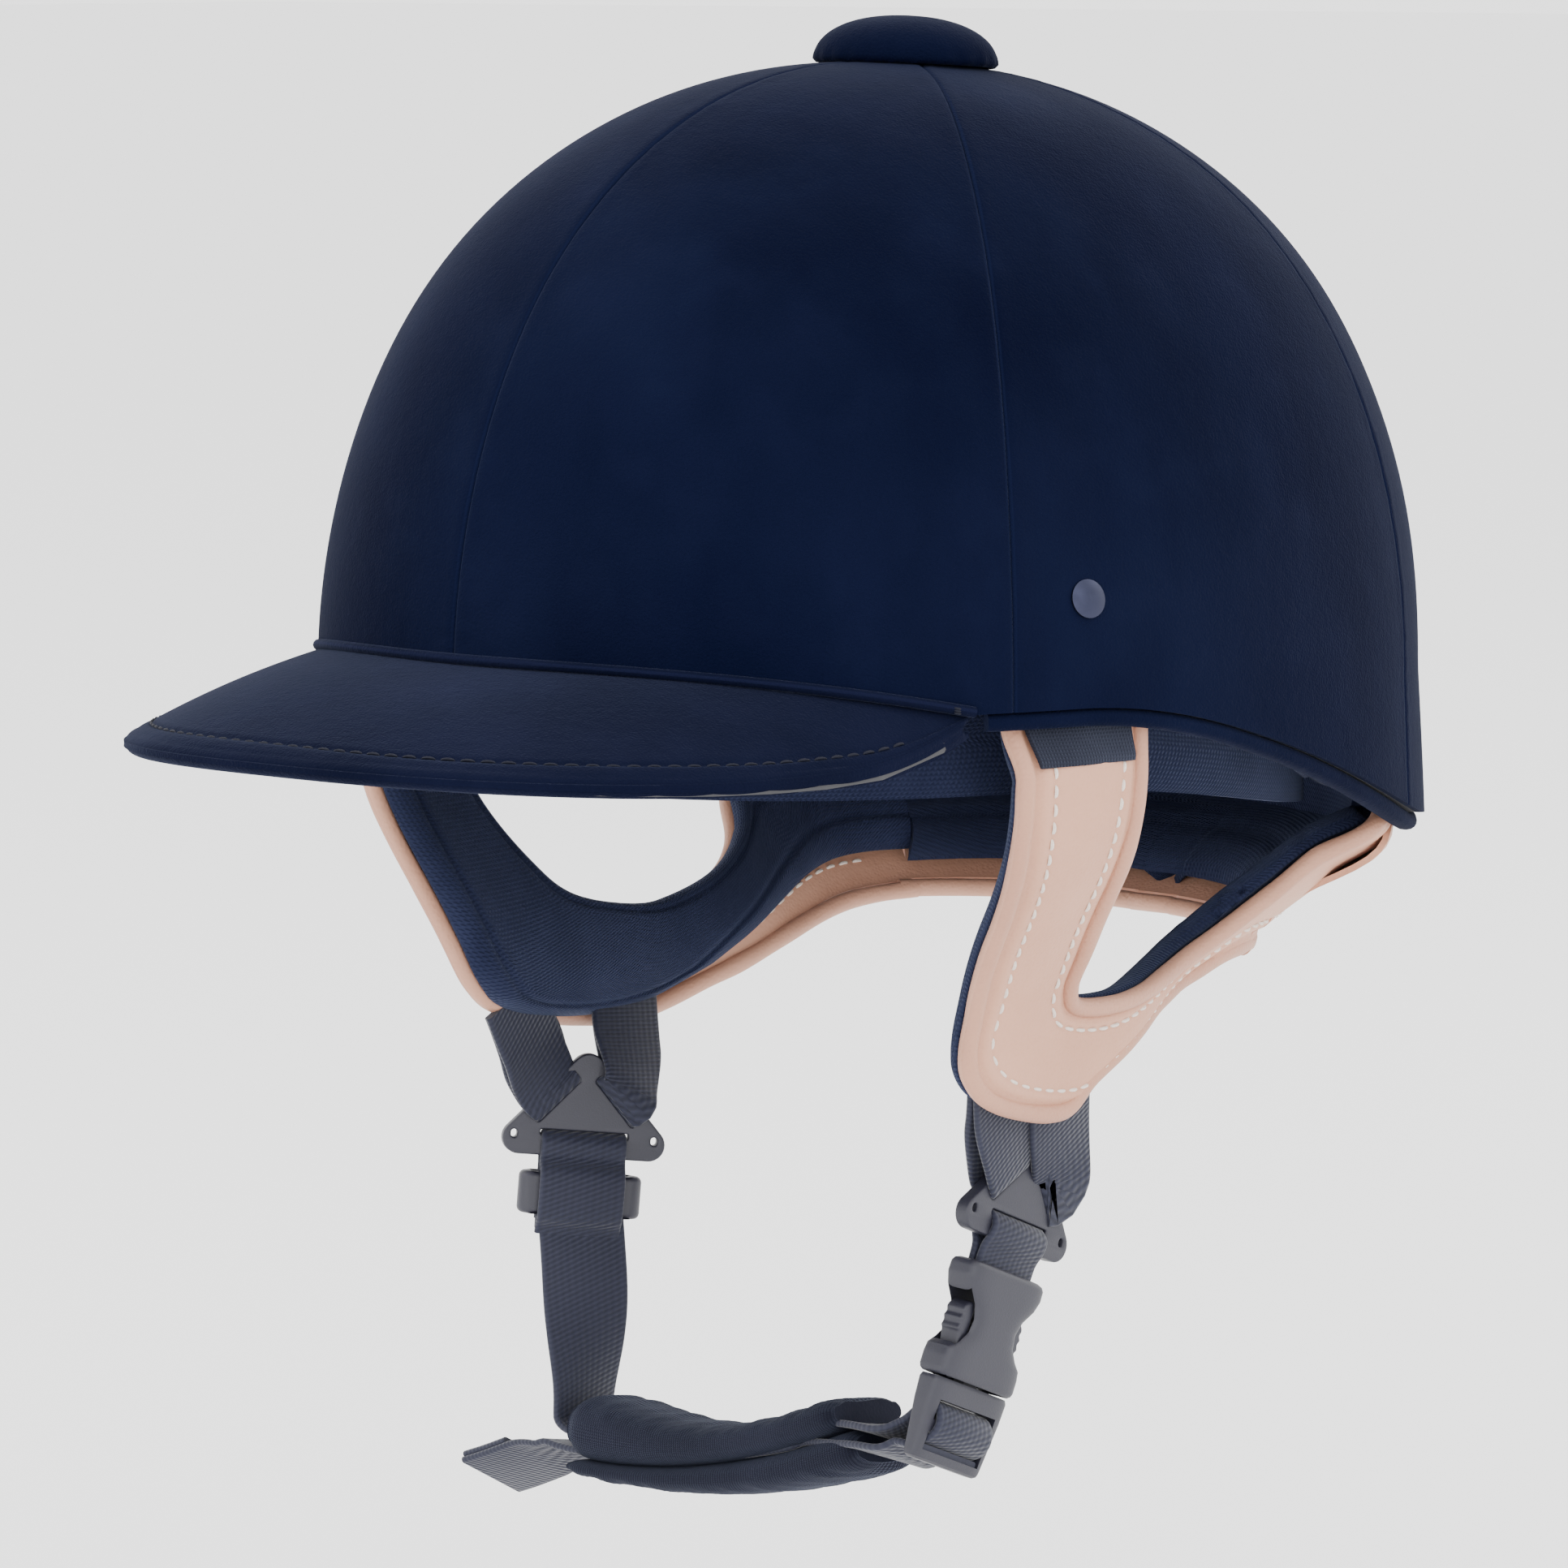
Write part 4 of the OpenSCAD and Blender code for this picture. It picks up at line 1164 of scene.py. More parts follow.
@dataclass
class Inside:
    """Foam liner, the textile that closes its lower edge, crown pad and headband."""

    shop: Workshop
    liner_in: float = 6.3
    side_t: float = 16.0
    end_t: float = 25.0
    top_t: float = 20.0
    foam_up: float = 11.0

    def __post_init__(self) -> None:
        """Work out the liner's outer and inner half axes."""
        self.foam = FORM.axes(self.liner_in)
        self.hollow = self.foam - np.array([self.side_t, self.end_t, self.end_t, self.top_t])

    def build(self) -> None:
        """Build and dress every piece."""
        self.liner()
        self.edge_textile()
        self.crown_pad()
        self.headband()

    def liner(self) -> None:
        """The foam liner."""
        row = np.linspace(0, FORM.rows_up + FORM.rows_low, 40)[::-1]
        phi, rows = np.meshgrid(np.linspace(0, 360, 96, endpoint=False), row)
        low = FORM.rim_z(phi) + self.foam_up
        outer = FORM.point(self.foam, phi, rows, 0.05, low)
        inner = FORM.point(self.hollow, phi, rows, 0.05, low)
        piece = self.shop.mesh("foam_body", shell_between(outer, inner, True, grid_flow(outer, True)))
        self.shop.dress(piece, Finish.FOAM, "helmet", "foam_liner")

    def edge_textile(self) -> None:
        """A ribbed textile over the foam's lower edge, padded and turned up inside."""
        phi = np.linspace(0, 360, 240, endpoint=False)
        low = FORM.rim_z(phi) + self.foam_up
        outer = FORM.rim_point(self.foam, phi)
        inner = FORM.rim_point(self.hollow, phi)
        span = np.linalg.norm(outer - inner, axis=1)
        share = np.array([0.02, 0.0, 0.04, 0.18, 0.4, 0.65, 0.86, 0.98, 1.03, 1.04, 1.035])
        drop = np.array([-1.0, 1.2, 3.2, 4.7, 5.2, 4.7, 3.0, 0.5, -4.0, -9.0, -14.0])
        thick = 1.1
        rows = []
        for k, d in zip(share, drop):
            flat = mix(outer, inner, k)
            size = FORM.ring_size(self.hollow, low - d) if k > 1 else 1.0
            flat = flat * np.reshape(size, (-1, 1)) if k > 1 else flat
            rows.append(np.stack([flat[:, 0], flat[:, 1], low - d], axis=1))
        grid = curve_at(np.array(rows), np.linspace(0, 1, 34))
        puff = Waves(31, 4, 3, 7)(np.radians(phi))[None, :, None] * 0.25
        normal = face_normals(np.concatenate([grid, grid[:, :1]], axis=1), (0, 0, 40))[:, :-1]
        grid = grid + normal * puff
        flow = grid_flow(grid, True)
        piece = self.shop.mesh("edge_textile", shell_between(grid, grid - normal * thick, True, flow), 80)
        self.shop.dress(piece, Finish.TEXTILE, "helmet", "liner_edge_cover")
        log.info("liner is %.0f mm wide at its lower edge", float(span.max()))

    def crown_pad(self) -> None:
        """The quilted pad in the top of the liner."""
        t, phi = np.meshgrid(np.linspace(0.03, 0.47, 26), np.linspace(0, 360, 96, endpoint=False), indexing="ij")
        ax = self.hollow - 0.3
        plan = FORM.plan(ax, phi, t)
        size = np.hypot(plan[..., 0] / ax[0], plan[..., 1] / FORM.reach(ax, plan[..., 1]))
        outer = np.concatenate([plan, FORM.height_at(ax, size)[..., None]], axis=-1)
        pillow = (1 - np.abs(2 * (t - 0.03) / 0.44 - 1) ** 4) ** 0.5
        quilt = 1 - 0.45 * bump_at(np.abs(sind(phi * 2.5)), 0, 0.12) - 0.5 * bump_at(t, 0.24, 0.015)
        inner = outer - np.array([0, 0, 1.0]) * (0.8 + 6.0 * pillow * quilt)[..., None]
        piece = self.shop.mesh("crown_cushion", shell_between(inner, outer, True, grid_flow(inner, True)), 80)
        self.shop.dress(piece, Finish.LINING, "helmet", "crown_pad")

    def headband(self) -> None:
        """The padded band round the head, folded into soft rolls and creased at the back."""
        phi = np.linspace(0, 360, 300, endpoint=False)
        v = np.linspace(0, 1, 46)
        p, k = np.meshgrid(phi, v)
        z = mix(-15.5, 23.5, k) + 0.36 * (FORM.rim_z(p) - FORM.rim_side)
        rim = FORM.rim_point(self.hollow - 0.3, p) * FORM.ring_size(self.hollow, z)[..., None]
        lobes = np.sqrt(np.clip(np.sin(np.pi * np.clip(k, 0.004, 0.996)), 0, 1))
        folds = 1 - 0.42 * bump_at(k, 0.33, 0.05) - 0.30 * bump_at(k, 0.64, 0.05)
        draw = np.random.default_rng(41)
        creases = np.zeros_like(p)
        creased = zip(draw.uniform(0, 360, 34), draw.uniform(0.8, 2.2, 34), draw.uniform(0.3, 1.1, 34))
        for spot, width, depth in creased:
            lean = spot + (k - 0.5) * draw.uniform(-10, 10)
            gap = (p - lean + 180) % 360 - 180
            creases += depth * np.exp(-((gap / width) ** 2)) * smooth01(1.4 - np.abs(k - draw.uniform(0.2, 0.8)) * 3)
        fat = 1.2 + 6.6 * lobes * folds - 0.8 * creases * lobes + 0.3 * Waves(43, 5, 0.05, 0.2)(p)
        size = np.linalg.norm(rim, axis=-1)
        inner = np.concatenate([rim * (1 - np.maximum(fat, 0.6) / size)[..., None], z[..., None]], axis=-1)
        outer = np.concatenate([rim, z[..., None]], axis=-1)
        piece = self.shop.mesh("head_band", shell_between(inner, outer, True, grid_flow(inner, True)), 80)
        self.shop.dress(piece, Finish.LINING, "helmet", "headband")


# ---- Harness ----


@dataclass(frozen=True)
class HarnessForm:
    """The surface that the harness follows below the shell."""

    leather: float = 1.4
    lining: float = 5.0
    piping: float = 2.0
    nape_low: float = -60.0
    nape_high: float = -21.0
    ear_left: tuple = ((-28, 8), (-28.5, -2), (-30.5, -18), (-26, -36), (-20, -51), (-18, -59), (-13, -64),
                       (3, -65), (25, -62), (43, -56.5), (58, -47.5), (72, -35), (98, -23))
    outside_left: tuple = ((-58, 8), (-60, -5), (-60, -22), (-51.5, -45), (-45.5, -62), (-45, -75), (-36, -82.5),
                           (-17, -86), (-6, -79.5), (16, -70), (38, -64.5), (57, -61.2), (76, -62.0))
    ear_right: tuple = ((-35, 8), (-35, -2), (-34.5, -20), (-34, -36), (-29, -48), (-21, -55), (-3, -58.5),
                        (10, -58), (24, -54), (35, -47), (44, -37), (58, -26), (98, -23))
    outside_right: tuple = ((-62, 8), (-62, -5), (-62.5, -24), (-63, -42), (-62, -58), (-58, -67), (-46, -73.5),
                            (-18, -79), (2, -79.5), (22, -73), (40, -65.5), (58, -60), (76, -58.3))

    @property
    def tuck_axes(self) -> Array:
        """Half axes of the shell's inside, where the harness is tucked in."""
        return FORM.axes(5.2)

    def back_reach(self, z: Array) -> Array:
        """Reach of the harness to the back at a height."""
        return 100 + 37 * smooth01((z + 64) / 24)

    def flat_x(self, y: Array, z: Array) -> Array:
        """Half width of the hanging harness at a place on the side view."""
        wide = 69 + 31.5 * smooth01((z + 70) / 56)
        reach = np.where(y < 0, 130, self.back_reach(z))
        pinch = np.where(y < 0, 0, 8 * smooth01(y / 40) * smooth01((-z - 20) / 25))
        return (wide - pinch) * np.maximum(0.001, 1 - np.minimum(0.999, np.abs(y) / reach) ** 2.5) ** 0.4

    def x_at(self, y: Array, z: Array) -> Array:
        """Half width of the harness's outer face, tucked into the shell at the top."""
        ax = self.tuck_axes
        tucked = ax[0] * np.sqrt(np.maximum(0.001, 1 - (y / FORM.reach(ax, y)) ** 2))
        cos_phi = np.clip(-y / FORM.reach(FORM.axes(0), y), -1, 1)
        rim = FORM.rim_z(np.degrees(np.arccos(cos_phi)))
        return mix(np.minimum(tucked, 100.5), self.flat_x(y, z), smooth01((rim - 1 - z) / 14))

    def nape_start(self, z: Array) -> Array:
        """Angle at which the nape panel laps a side piece, at a height."""
        return 40 + 3 * (z + 60) / 39 - 7.5 * np.exp(-((z + 44) / 9.5) ** 2)

    def nape(self, w: Array, z: Array) -> Array:
        """Point of the nape panel's outer face at an angle round the back."""
        c, s = cosd(w), sind(w)
        ax = self.tuck_axes
        turn = smooth01((FORM.rim_back - 1 - z) / 16)
        z = z - 2.5 * c * smooth01((-z - 25) / 30)
        low_y = self.back_reach(z) * np.abs(s) ** 0.8
        low_x = self.flat_x(low_y, z) * np.sign(c)
        return np.stack([mix(ax[0] * c, low_x, turn), mix(ax[2] * s, low_y, turn), z], axis=-1)


HARNESS = HarnessForm()


@dataclass
class Harness:
    """Leather side pieces and nape panel with piping, stitches and padded linings."""

    shop: Workshop
    stitch_in: float = 6.2
    stitch_len: float = 2.7
    stitch_gap: float = 1.2

    def build(self) -> None:
        """Build both sides and the nape."""
        for side, name in ((1, "left"), (-1, "right")):
            self.side(side, name)
        self.nape()
        self.tab()

    def edges(self, side: int) -> tuple[tuple, tuple]:
        """Ear edge and outer edge of a side's piece: the left side hangs lower with the buckle's weight."""
        if side > 0:
            return HARNESS.ear_left, HARNESS.outside_left
        return HARNESS.ear_right, HARNESS.outside_right

    def grid(self, side: int, u: Array, d_ear: Array, d_out: Array) -> tuple[Array, Array, Array]:
        """A grid over one side piece.

        Args:
            side: 1 for the left side, -1 for the right.
            u: Places along the side piece, one for each column.
            d_ear: Distance in from the ear opening for each row, or NaN.
            d_out: Distance in from the outer edge for each row, or NaN.

        Returns:
            Points of the outer face, distances from the nearer edge, and inward normals.
        """
        ear, out = (curve_at(edge, u) for edge in self.edges(side))
        width = np.linalg.norm(out - ear, axis=1)[None]
        share = np.where(np.isnan(d_ear[:, None]), 1 - d_out[:, None] / width, d_ear[:, None] / width)
        both = ~np.isnan(d_ear[:, None]) & ~np.isnan(d_out[:, None])
        share = np.where(both, d_ear[:, None], share)
        flat = ear[None] + (out - ear)[None] * share[..., None]
        x = HARNESS.x_at(flat[..., 0], flat[..., 1])
        points = np.stack([x, flat[..., 0], flat[..., 1]], axis=-1)
        edge = np.minimum(share, 1 - share) * width
        return points, edge, -face_normals(points, (0, 10, -30))

    def rows(self, first: float, last: float) -> tuple[Array, Array]:
        """Rows of a side grid: a few at fixed distances from each edge, and even shares between."""
        near = np.array([first, first + 0.6, first + 1.3, first + 2.0, 4.2, 5.0, 5.6, 6.2, 6.8, 7.6, 9.0])
        near = near[near > first - 0.01]
        far = np.array([last, last + 0.6, last + 1.3, last + 2.0, 4.2, 5.0, 5.6, 6.2, 6.8, 7.6, 9.0])[::-1]
        shares = np.linspace(0.36, 0.64, 8)
        nan = np.nan
        d_ear = np.concatenate([near, shares, np.full(len(far), nan)])
        d_out = np.concatenate([np.full(len(near), nan), shares, far])
        return d_ear, d_out

    def seam_dip(self, edge: Array) -> Array:
        """Depth of the leather's groove beside the piping and under the stitches."""
        return 1.15 * bump_at(edge, 2.3, 1.1) + 0.4 * bump_at(edge, self.stitch_in, 0.6)

    def mirrored(self, solid: Solid, side: int) -> Solid:
        """The solid itself, or its mirror image for the right side."""
        if side > 0:
            return solid
        return Solid(solid.points * np.array([-1, 1, 1]), [face[::-1] for face in solid.faces],
                     [m[::-1] for m in solid.flow])

    def side(self, side: int, name: str) -> None:
        """One side piece with its lining, piping and stitches."""
        u = np.linspace(0, 1, 190)
        points, edge, inward = self.grid(side, u, *self.rows(1.0, 1.0))
        along = grid_flow(points)[..., 1:2]
        dip = self.seam_dip(edge)
        swell = 0.35 * smooth01((edge - 7) / 6) + 0.15 * Waves(51, 5, 0.05, 0.16)(points[..., 1] + points[..., 2])
        outer = points + inward * (dip - swell)[..., None]
        inner = points + inward * HARNESS.leather
        flow = np.concatenate([edge[..., None] * MM, along], axis=-1)
        face = self.mirrored(shell_between(outer, inner, flow=flow), side)
        piece = self.shop.mesh(f"harness_face_{name}", face, 80)
        self.shop.dress(piece, Finish.LEATHER, "helmet", f"harness_leather_{name}")
        self.piping(side, name)
        self.lining(side, name)
        self.side_stitches(side, name)

    def piping(self, side: int, name: str) -> None:
        """Leather rolled over a cord along both edges of a side piece."""
        both = None
        for edge in self.edges(side):
            flat = curve_at(edge, np.linspace(0, 1, 260))
            path = np.stack([HARNESS.x_at(flat[:, 0], flat[:, 1]) - 1.75, flat[:, 0], flat[:, 1]], axis=1)
            path = even_path(path, 1.1)
            wave = Waves(61, 6, 0.08, 0.5)(np.arange(len(path)))
            cord = tube(path, 2.05 + 0.05 * wave, (1, 0, 0), 14)
            both = cord if both is None else both.joined(cord)
        piece = self.shop.mesh(f"harness_cord_{name}", self.mirrored(both, side), 80)
        self.shop.dress(piece, Finish.PIPING, "helmet", f"harness_piping_{name}")

    def lining(self, side: int, name: str) -> None:
        """The padded lining: a pillow that is sewn down a little way in from its edges."""
        u = np.linspace(0, 1, 150)
        back = smooth01((u - 0.5) / 0.2)
        ear, out = (curve_at(edge, u) for edge in self.edges(side))
        width = np.linalg.norm(out - ear, axis=1)
        low = mix(-1.4, 5.5 * smooth01((u - 0.8) / 0.1), smooth01((u - 0.78) / 0.1)) / width
        high = 1 - mix(-1.2, 6.5, back) / width
        k = np.concatenate([np.linspace(0, 0.2, 12), np.linspace(0.23, 0.77, 16), np.linspace(0.8, 1, 12)])
        share = low[None] + (high - low)[None] * k[:, None]
        flat = ear[None] + (out - ear)[None] * share[..., None]
        x = HARNESS.x_at(flat[..., 0], flat[..., 1])
        points = np.stack([x, flat[..., 0], flat[..., 1]], axis=-1)
        inward = -face_normals(points, (0, 10, -30))
        span = (high - low) * width
        edge = np.minimum(k, 1 - k)[:, None] * span[None]
        pillow = rounded(edge / 7)
        seam = 0.8 * bump_at(edge, 5.2, 0.8)
        soft = 0.35 * Waves(71, 6, 0.04, 0.14)(points[..., 1] * 1.3 - points[..., 2])
        depth = 4.1
        thick = 0.7 + 4.3 * pillow - seam + soft * pillow
        inner = points + inward * (depth + np.maximum(thick, 0.6))[..., None]
        outer = points + inward * (depth - 0.4 * pillow)[..., None]
        piece = self.shop.mesh(f"harness_pad_{name}", self.mirrored(
            shell_between(inner, outer, flow=grid_flow(inner)), side), 80)
        self.shop.dress(piece, Finish.LINING, "helmet", f"harness_lining_{name}")

    def side_stitches(self, side: int, name: str) -> None:
        """White stitches along both edges, on the outer face and on the bare inner edge."""
        u = np.linspace(0, 1, 400)
        inset = np.array([self.stitch_in, self.stitch_in + 0.5])
        unset = np.full(2, np.nan)

        def row(part: Array, d_ear: Array, d_out: Array, depth: float, facing: int) -> Solid:
            """One row of stitches at a depth under the face, facing out (-1) or in (1)."""
            points, _, inward = self.grid(side, part, d_ear, d_out)
            return stitches(points[0] + inward[0] * depth, facing * inward[0], self.stitch_len,
                            self.stitch_gap, 0.42)

        rows = row(u[(u > 0.03) & (u < 0.92)], inset, unset, 0.32, -1)
        part = u[(u > 0.03) & (u < 0.97)]
        rows = rows.joined(row(part, unset, inset, 0.32, -1))
        points, _, inward = self.grid(side, part, unset, inset)
        back = part > 0.55
        line = points[0][back] + inward[0][back] * (HARNESS.leather + 0.05)
        rows = rows.joined(stitches(line, inward[0][back], self.stitch_len, self.stitch_gap, 0.42))
        piece = self.shop.mesh(f"harness_stitches_{name}", self.mirrored(rows, side))
        self.shop.dress(piece, Finish.WHITE_THREAD, "helmet")

    def nape(self) -> None:
        """The nape panel: leather, lining, piping and a row of stitches."""
        share = np.linspace(0, 1, 130)
        length = HARNESS.nape_high - HARNESS.nape_low
        near_edge = np.array([7.6, 6.8, 6.2, 5.6, 5, 4.2, 3, 2.3, 1.6, 1])
        down = np.concatenate([np.linspace(0, length - 9, 16), length - near_edge])
        p, z = self.nape_grid(share, HARNESS.nape_high - down)
        points = HARNESS.nape(p, z)
        inward = -face_normals(points, (0, 0, -40))
        edge = z - HARNESS.nape_low
        dip = self.seam_dip(edge)
        flow = np.concatenate([edge[..., None] * MM, grid_flow(points)[..., :1]], axis=-1)
        piece = self.shop.mesh("nape_face", shell_between(
            points + inward * dip[..., None], points + inward * HARNESS.leather, flow=flow), 80)
        self.shop.dress(piece, Finish.LEATHER, "helmet", "nape_leather")
        start = HARNESS.nape_start(HARNESS.nape_low)
        path = HARNESS.nape(mix(start, 180 - start, share), np.full(len(share), HARNESS.nape_low))
        toward = unit(path * np.array([1, 1, 0.0]))
        piece = self.shop.mesh("nape_cord", tube(path - toward * 1.75, 2.05, (0, 0, 1), 14), 80)
        self.shop.dress(piece, Finish.PIPING, "helmet", "nape_piping")
        at = int(np.argmin(np.abs(edge[:, 0] - self.stitch_in)))
        row = stitches(points[at] + inward[at] * 0.32, -inward[at], self.stitch_len, self.stitch_gap, 0.42)
        back = stitches(points[at] + inward[at] * (HARNESS.leather + 0.05), inward[at], self.stitch_len,
                        self.stitch_gap, 0.42)
        self.shop.dress(self.shop.mesh("nape_stitches", row.joined(back)), Finish.WHITE_THREAD, "helmet")
        self.nape_pad(share)

    def nape_grid(self, share: Array, level: Array) -> tuple[Array, Array]:
        """Angles and heights of a nape grid whose ends lap the side pieces."""
        start = HARNESS.nape_start(level)[:, None]
        return start + (180 - 2 * start) * share[None], np.repeat(level[:, None], len(share), axis=1)

    def nape_pad(self, share: Array) -> None:
        """The nape panel's padded lining, short of the leather's lower edge."""
        p, z = self.nape_grid(share, np.linspace(HARNESS.nape_high - 1, HARNESS.nape_low + 3.0, 40))
        v = (HARNESS.nape_high - 1 - z) / (HARNESS.nape_high - HARNESS.nape_low - 4.0)
        points = HARNESS.nape(p, z)
        inward = -face_normals(points, (0, 0, -40))
        edge = np.minimum(v, 1 - v) * 30
        pillow = rounded(edge / 7)
        thick = 0.7 + 4.2 * pillow - 0.8 * bump_at(edge, 5.2, 0.8) + 0.3 * Waves(81, 5, 0.04, 0.2)(p) * pillow
        inner = points + inward * (4.1 + np.maximum(thick, 0.6))[..., None]
        outer = points + inward * 3.9
        piece = self.shop.mesh("nape_pad", shell_between(inner, outer, flow=grid_flow(inner)), 80)
        self.shop.dress(piece, Finish.LINING, "helmet", "nape_lining")

    def tab(self) -> None:
        """The blank folded tab at the top of the left front leg."""
        y, v = np.meshgrid(np.linspace(-58, -33, 26), np.linspace(0, 1, 18))
        z = mix(4.5, -7.6, v)
        round_off = 0.9 * np.maximum(0, np.abs(v - 0.5) * 2 - 0.8) / 0.2
        lift = 0.95 + 0.12 * np.sin(y * 0.5) - round_off * 0.5
        outer = np.stack([HARNESS.x_at(y, z) + lift, y, z], axis=-1)
        inner = np.stack([HARNESS.x_at(y, z) + 0.1, y, z], axis=-1)
        piece = self.shop.mesh("blank_tab", shell_between(outer, inner, flow=grid_flow(outer)), 60)
        self.shop.dress(piece, Finish.TAB, "helmet", "label_tab")


# ---- Chin strap ----


class Placer:
    """Maps points of one hanging part's own frame to the helmet's frame."""

    def __init__(self, matrix: Matrix) -> None:
        """Keep the 4 by 4 matrix."""
        self.matrix = np.array(matrix)

    def __call__(self, points: Array) -> Array:
        """The points in the helmet's frame."""
        p = np.asarray(points, float)
        return p @ self.matrix[:3, :3].T + self.matrix[:3, 3]

    def turned(self, directions: Array) -> Array:
        """Directions in the helmet's frame."""
        return np.asarray(directions, float) @ self.matrix[:3, :3].T


def shift(x: float, y: float, z: float) -> Matrix:
    """A move."""
    return Matrix.Translation((x, y, z))


def turn(angle: float, axis: str) -> Matrix:
    """A turn in degrees about an axis."""
    return Matrix.Rotation(np.radians(angle), 4, axis)


def rounded_box(x: float, y: float, corner: float, steps: int = 6) -> Array:
    """Outline of a rectangle with round corners, by its half sizes."""
    points = []
    for sx, sy, start in ((1, 1, 0), (-1, 1, 90), (-1, -1, 180), (1, -1, 270)):
        for a in np.linspace(start, start + 90, steps):
            points.append((sx * (x - corner) + corner * cosd(a), sy * (y - corner) + corner * sind(a)))
    return np.array(points)


def block(low: tuple, high: tuple, place: Placer) -> Solid:
    """A plain box between two corners, for cutting."""
    x, y, z = zip(low, high)
    ring = lambda h: [(x[0], y[0], h), (x[1], y[0], h), (x[1], y[1], h), (x[0], y[1], h)]
    return lofted(place(np.array([ring(z[0]), ring(z[1])], float)))


@dataclass
class ChinStrap:
    """Everything that hangs from the harness: webbings, dividers, buckle, slider and chin pad."""

    shop: Workshop
    web_w: float = 19.0
    web_t: float = 1.5
    loop_half: float = 57.5
    loop_y: float = -27.0
    loop_z: float = -84.0
    lean: float = 7.0
    bar_z: float = -26.7
    right_lift: float = 5.0
    left_roll: float = 15.0
    roll_z: float = -60.0
    right_turn: float = 40.0
    buckle_tilt: float = 4.0
    buckle_t: float = 9.4
    socket_from: float = 8.0
    socket_to: float = 33.0
    slider_at: float = 10.6
    fold_at: float = 18.4
    arc_r: float = 216.5
    arc_x: float = -41.6
    drop: float = 83.2
    corner: tuple = (-51.2, -79.4)

    def __post_init__(self) -> None:
        """Work out the frames of the hanging parts."""
        loop = shift(0, self.loop_y, self.loop_z) @ turn(-self.lean, "X")
        left = loop @ shift(self.loop_half, 0, self.roll_z) @ turn(-self.left_roll, "X") @ shift(0, 0, -self.roll_z)
        right = loop @ shift(-self.loop_half, 0, 0) @ turn(-self.right_turn, "Z")
        down = Matrix.Diagonal((1, 1, -1, 1))
        self.loop = Placer(loop)
        self.left = Placer(left)
        self.right = Placer(right)
        self.buckle = Placer(left @ shift(0, 0, self.bar_z) @ turn(self.buckle_tilt, "Y") @ down)
        self.hanging = Placer(right @ shift(0, 0, self.bar_z + self.right_lift) @ down)

    def build(self) -> None:
        """Build and dress every piece."""
        for side, name, place in ((1, "left", self.left), (-1, "right", self.right)):
            self.v_webbing(side, name, place)
            self.divider(name, place, self.right_lift if side < 0 else 0.0)
        self.bar_webbing("socket_loop", "socket_webbing", self.buckle, 12.0, 12.0)
        self.bar_webbing("divider_loop", "divider_webbing", self.hanging, 16.5, self.fold_at)
        self.slider()
        self.socket()
        self.plug()
        self.prong(-1, "prong_front")
        self.prong(1, "prong_rear")
        self.chin_webbing()
        self.tail()
        self.pad()

    def strap(self, name: str, path: Array, wide: Array, body: str, *nodes: str,
              width: object = None) -> bpy.types.Object:
        """A woven strap along a path in the helmet's frame."""
        solid = ribbon(path, wide, self.web_w if width is None else width, self.web_t)
        return self.shop.dress(self.shop.mesh(name, solid, 60), Finish.WEBBING, body, *nodes)

    def v_webbing(self, side: int, name: str, place: Placer) -> None:
        """The two webbings of one side, sewn into the harness and looped through the divider."""
        pieces = None
        tucks = ((-1, -9.0), (1, 9.0)) if side > 0 else ((-1, -20.0), (1, 18.0))
        for s, tuck in tucks:
            lift = self.right_lift if side < 0 else 0.0
            slot = place(np.array([[0, 6.6 * s, lift - 16.4]]))[0]
            round_bar = place(np.array([[0.0, 9.4 * s, lift - 13.4]]))[0]
            y = self.loop_y + tuck + 2
            z = -71.0
            top = np.array([side * (HARNESS.x_at(np.array(y), np.array(z)) - 3.0), y, z])
            sideways = place.turned(np.array([[1.0, 0, 0]]))[0]
            out = sideways * np.sign(sideways[0])
            route = np.array([top + out * 0.8, mix(top, round_bar, 0.5) + out * 1.2, round_bar + out * 2.5,
                              slot + out * 1.5, slot - out * 1.5, round_bar - out * 2.5,
                              mix(top, round_bar, 0.5) - out * 0.8, top - out * 0.8])
            path = even_path(curve_at(route, np.linspace(0, 1, 160)), 1.0)
            share = np.linspace(0, 1, len(path))
            level = np.array([0, 1.0, -0.05])
            slot_run = place.turned(np.array([[0, cosd(48), -s * sind(48)]]))[0]
            near_slot = smooth01(1 - np.abs(share - 0.5) * 3.4)[:, None]
            width = mix(19.0, 13.6, near_slot[:, 0])
            one = ribbon(path, mix(level, slot_run * np.sign(slot_run[1]), near_slot), width, self.web_t)
            pieces = one if pieces is None else pieces.joined(one)
        piece = self.shop.mesh(f"v_webbing_{name}", pieces, 60)
        self.shop.dress(piece, Finish.WEBBING, "", f"webbing_v_{name}")
        start = np.array([side * self.loop_half, self.loop_y, self.loop_z + 2]) * MM
        end = place(np.array([[0, 0, -12.0]]))[0] * MM
        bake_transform(piece)

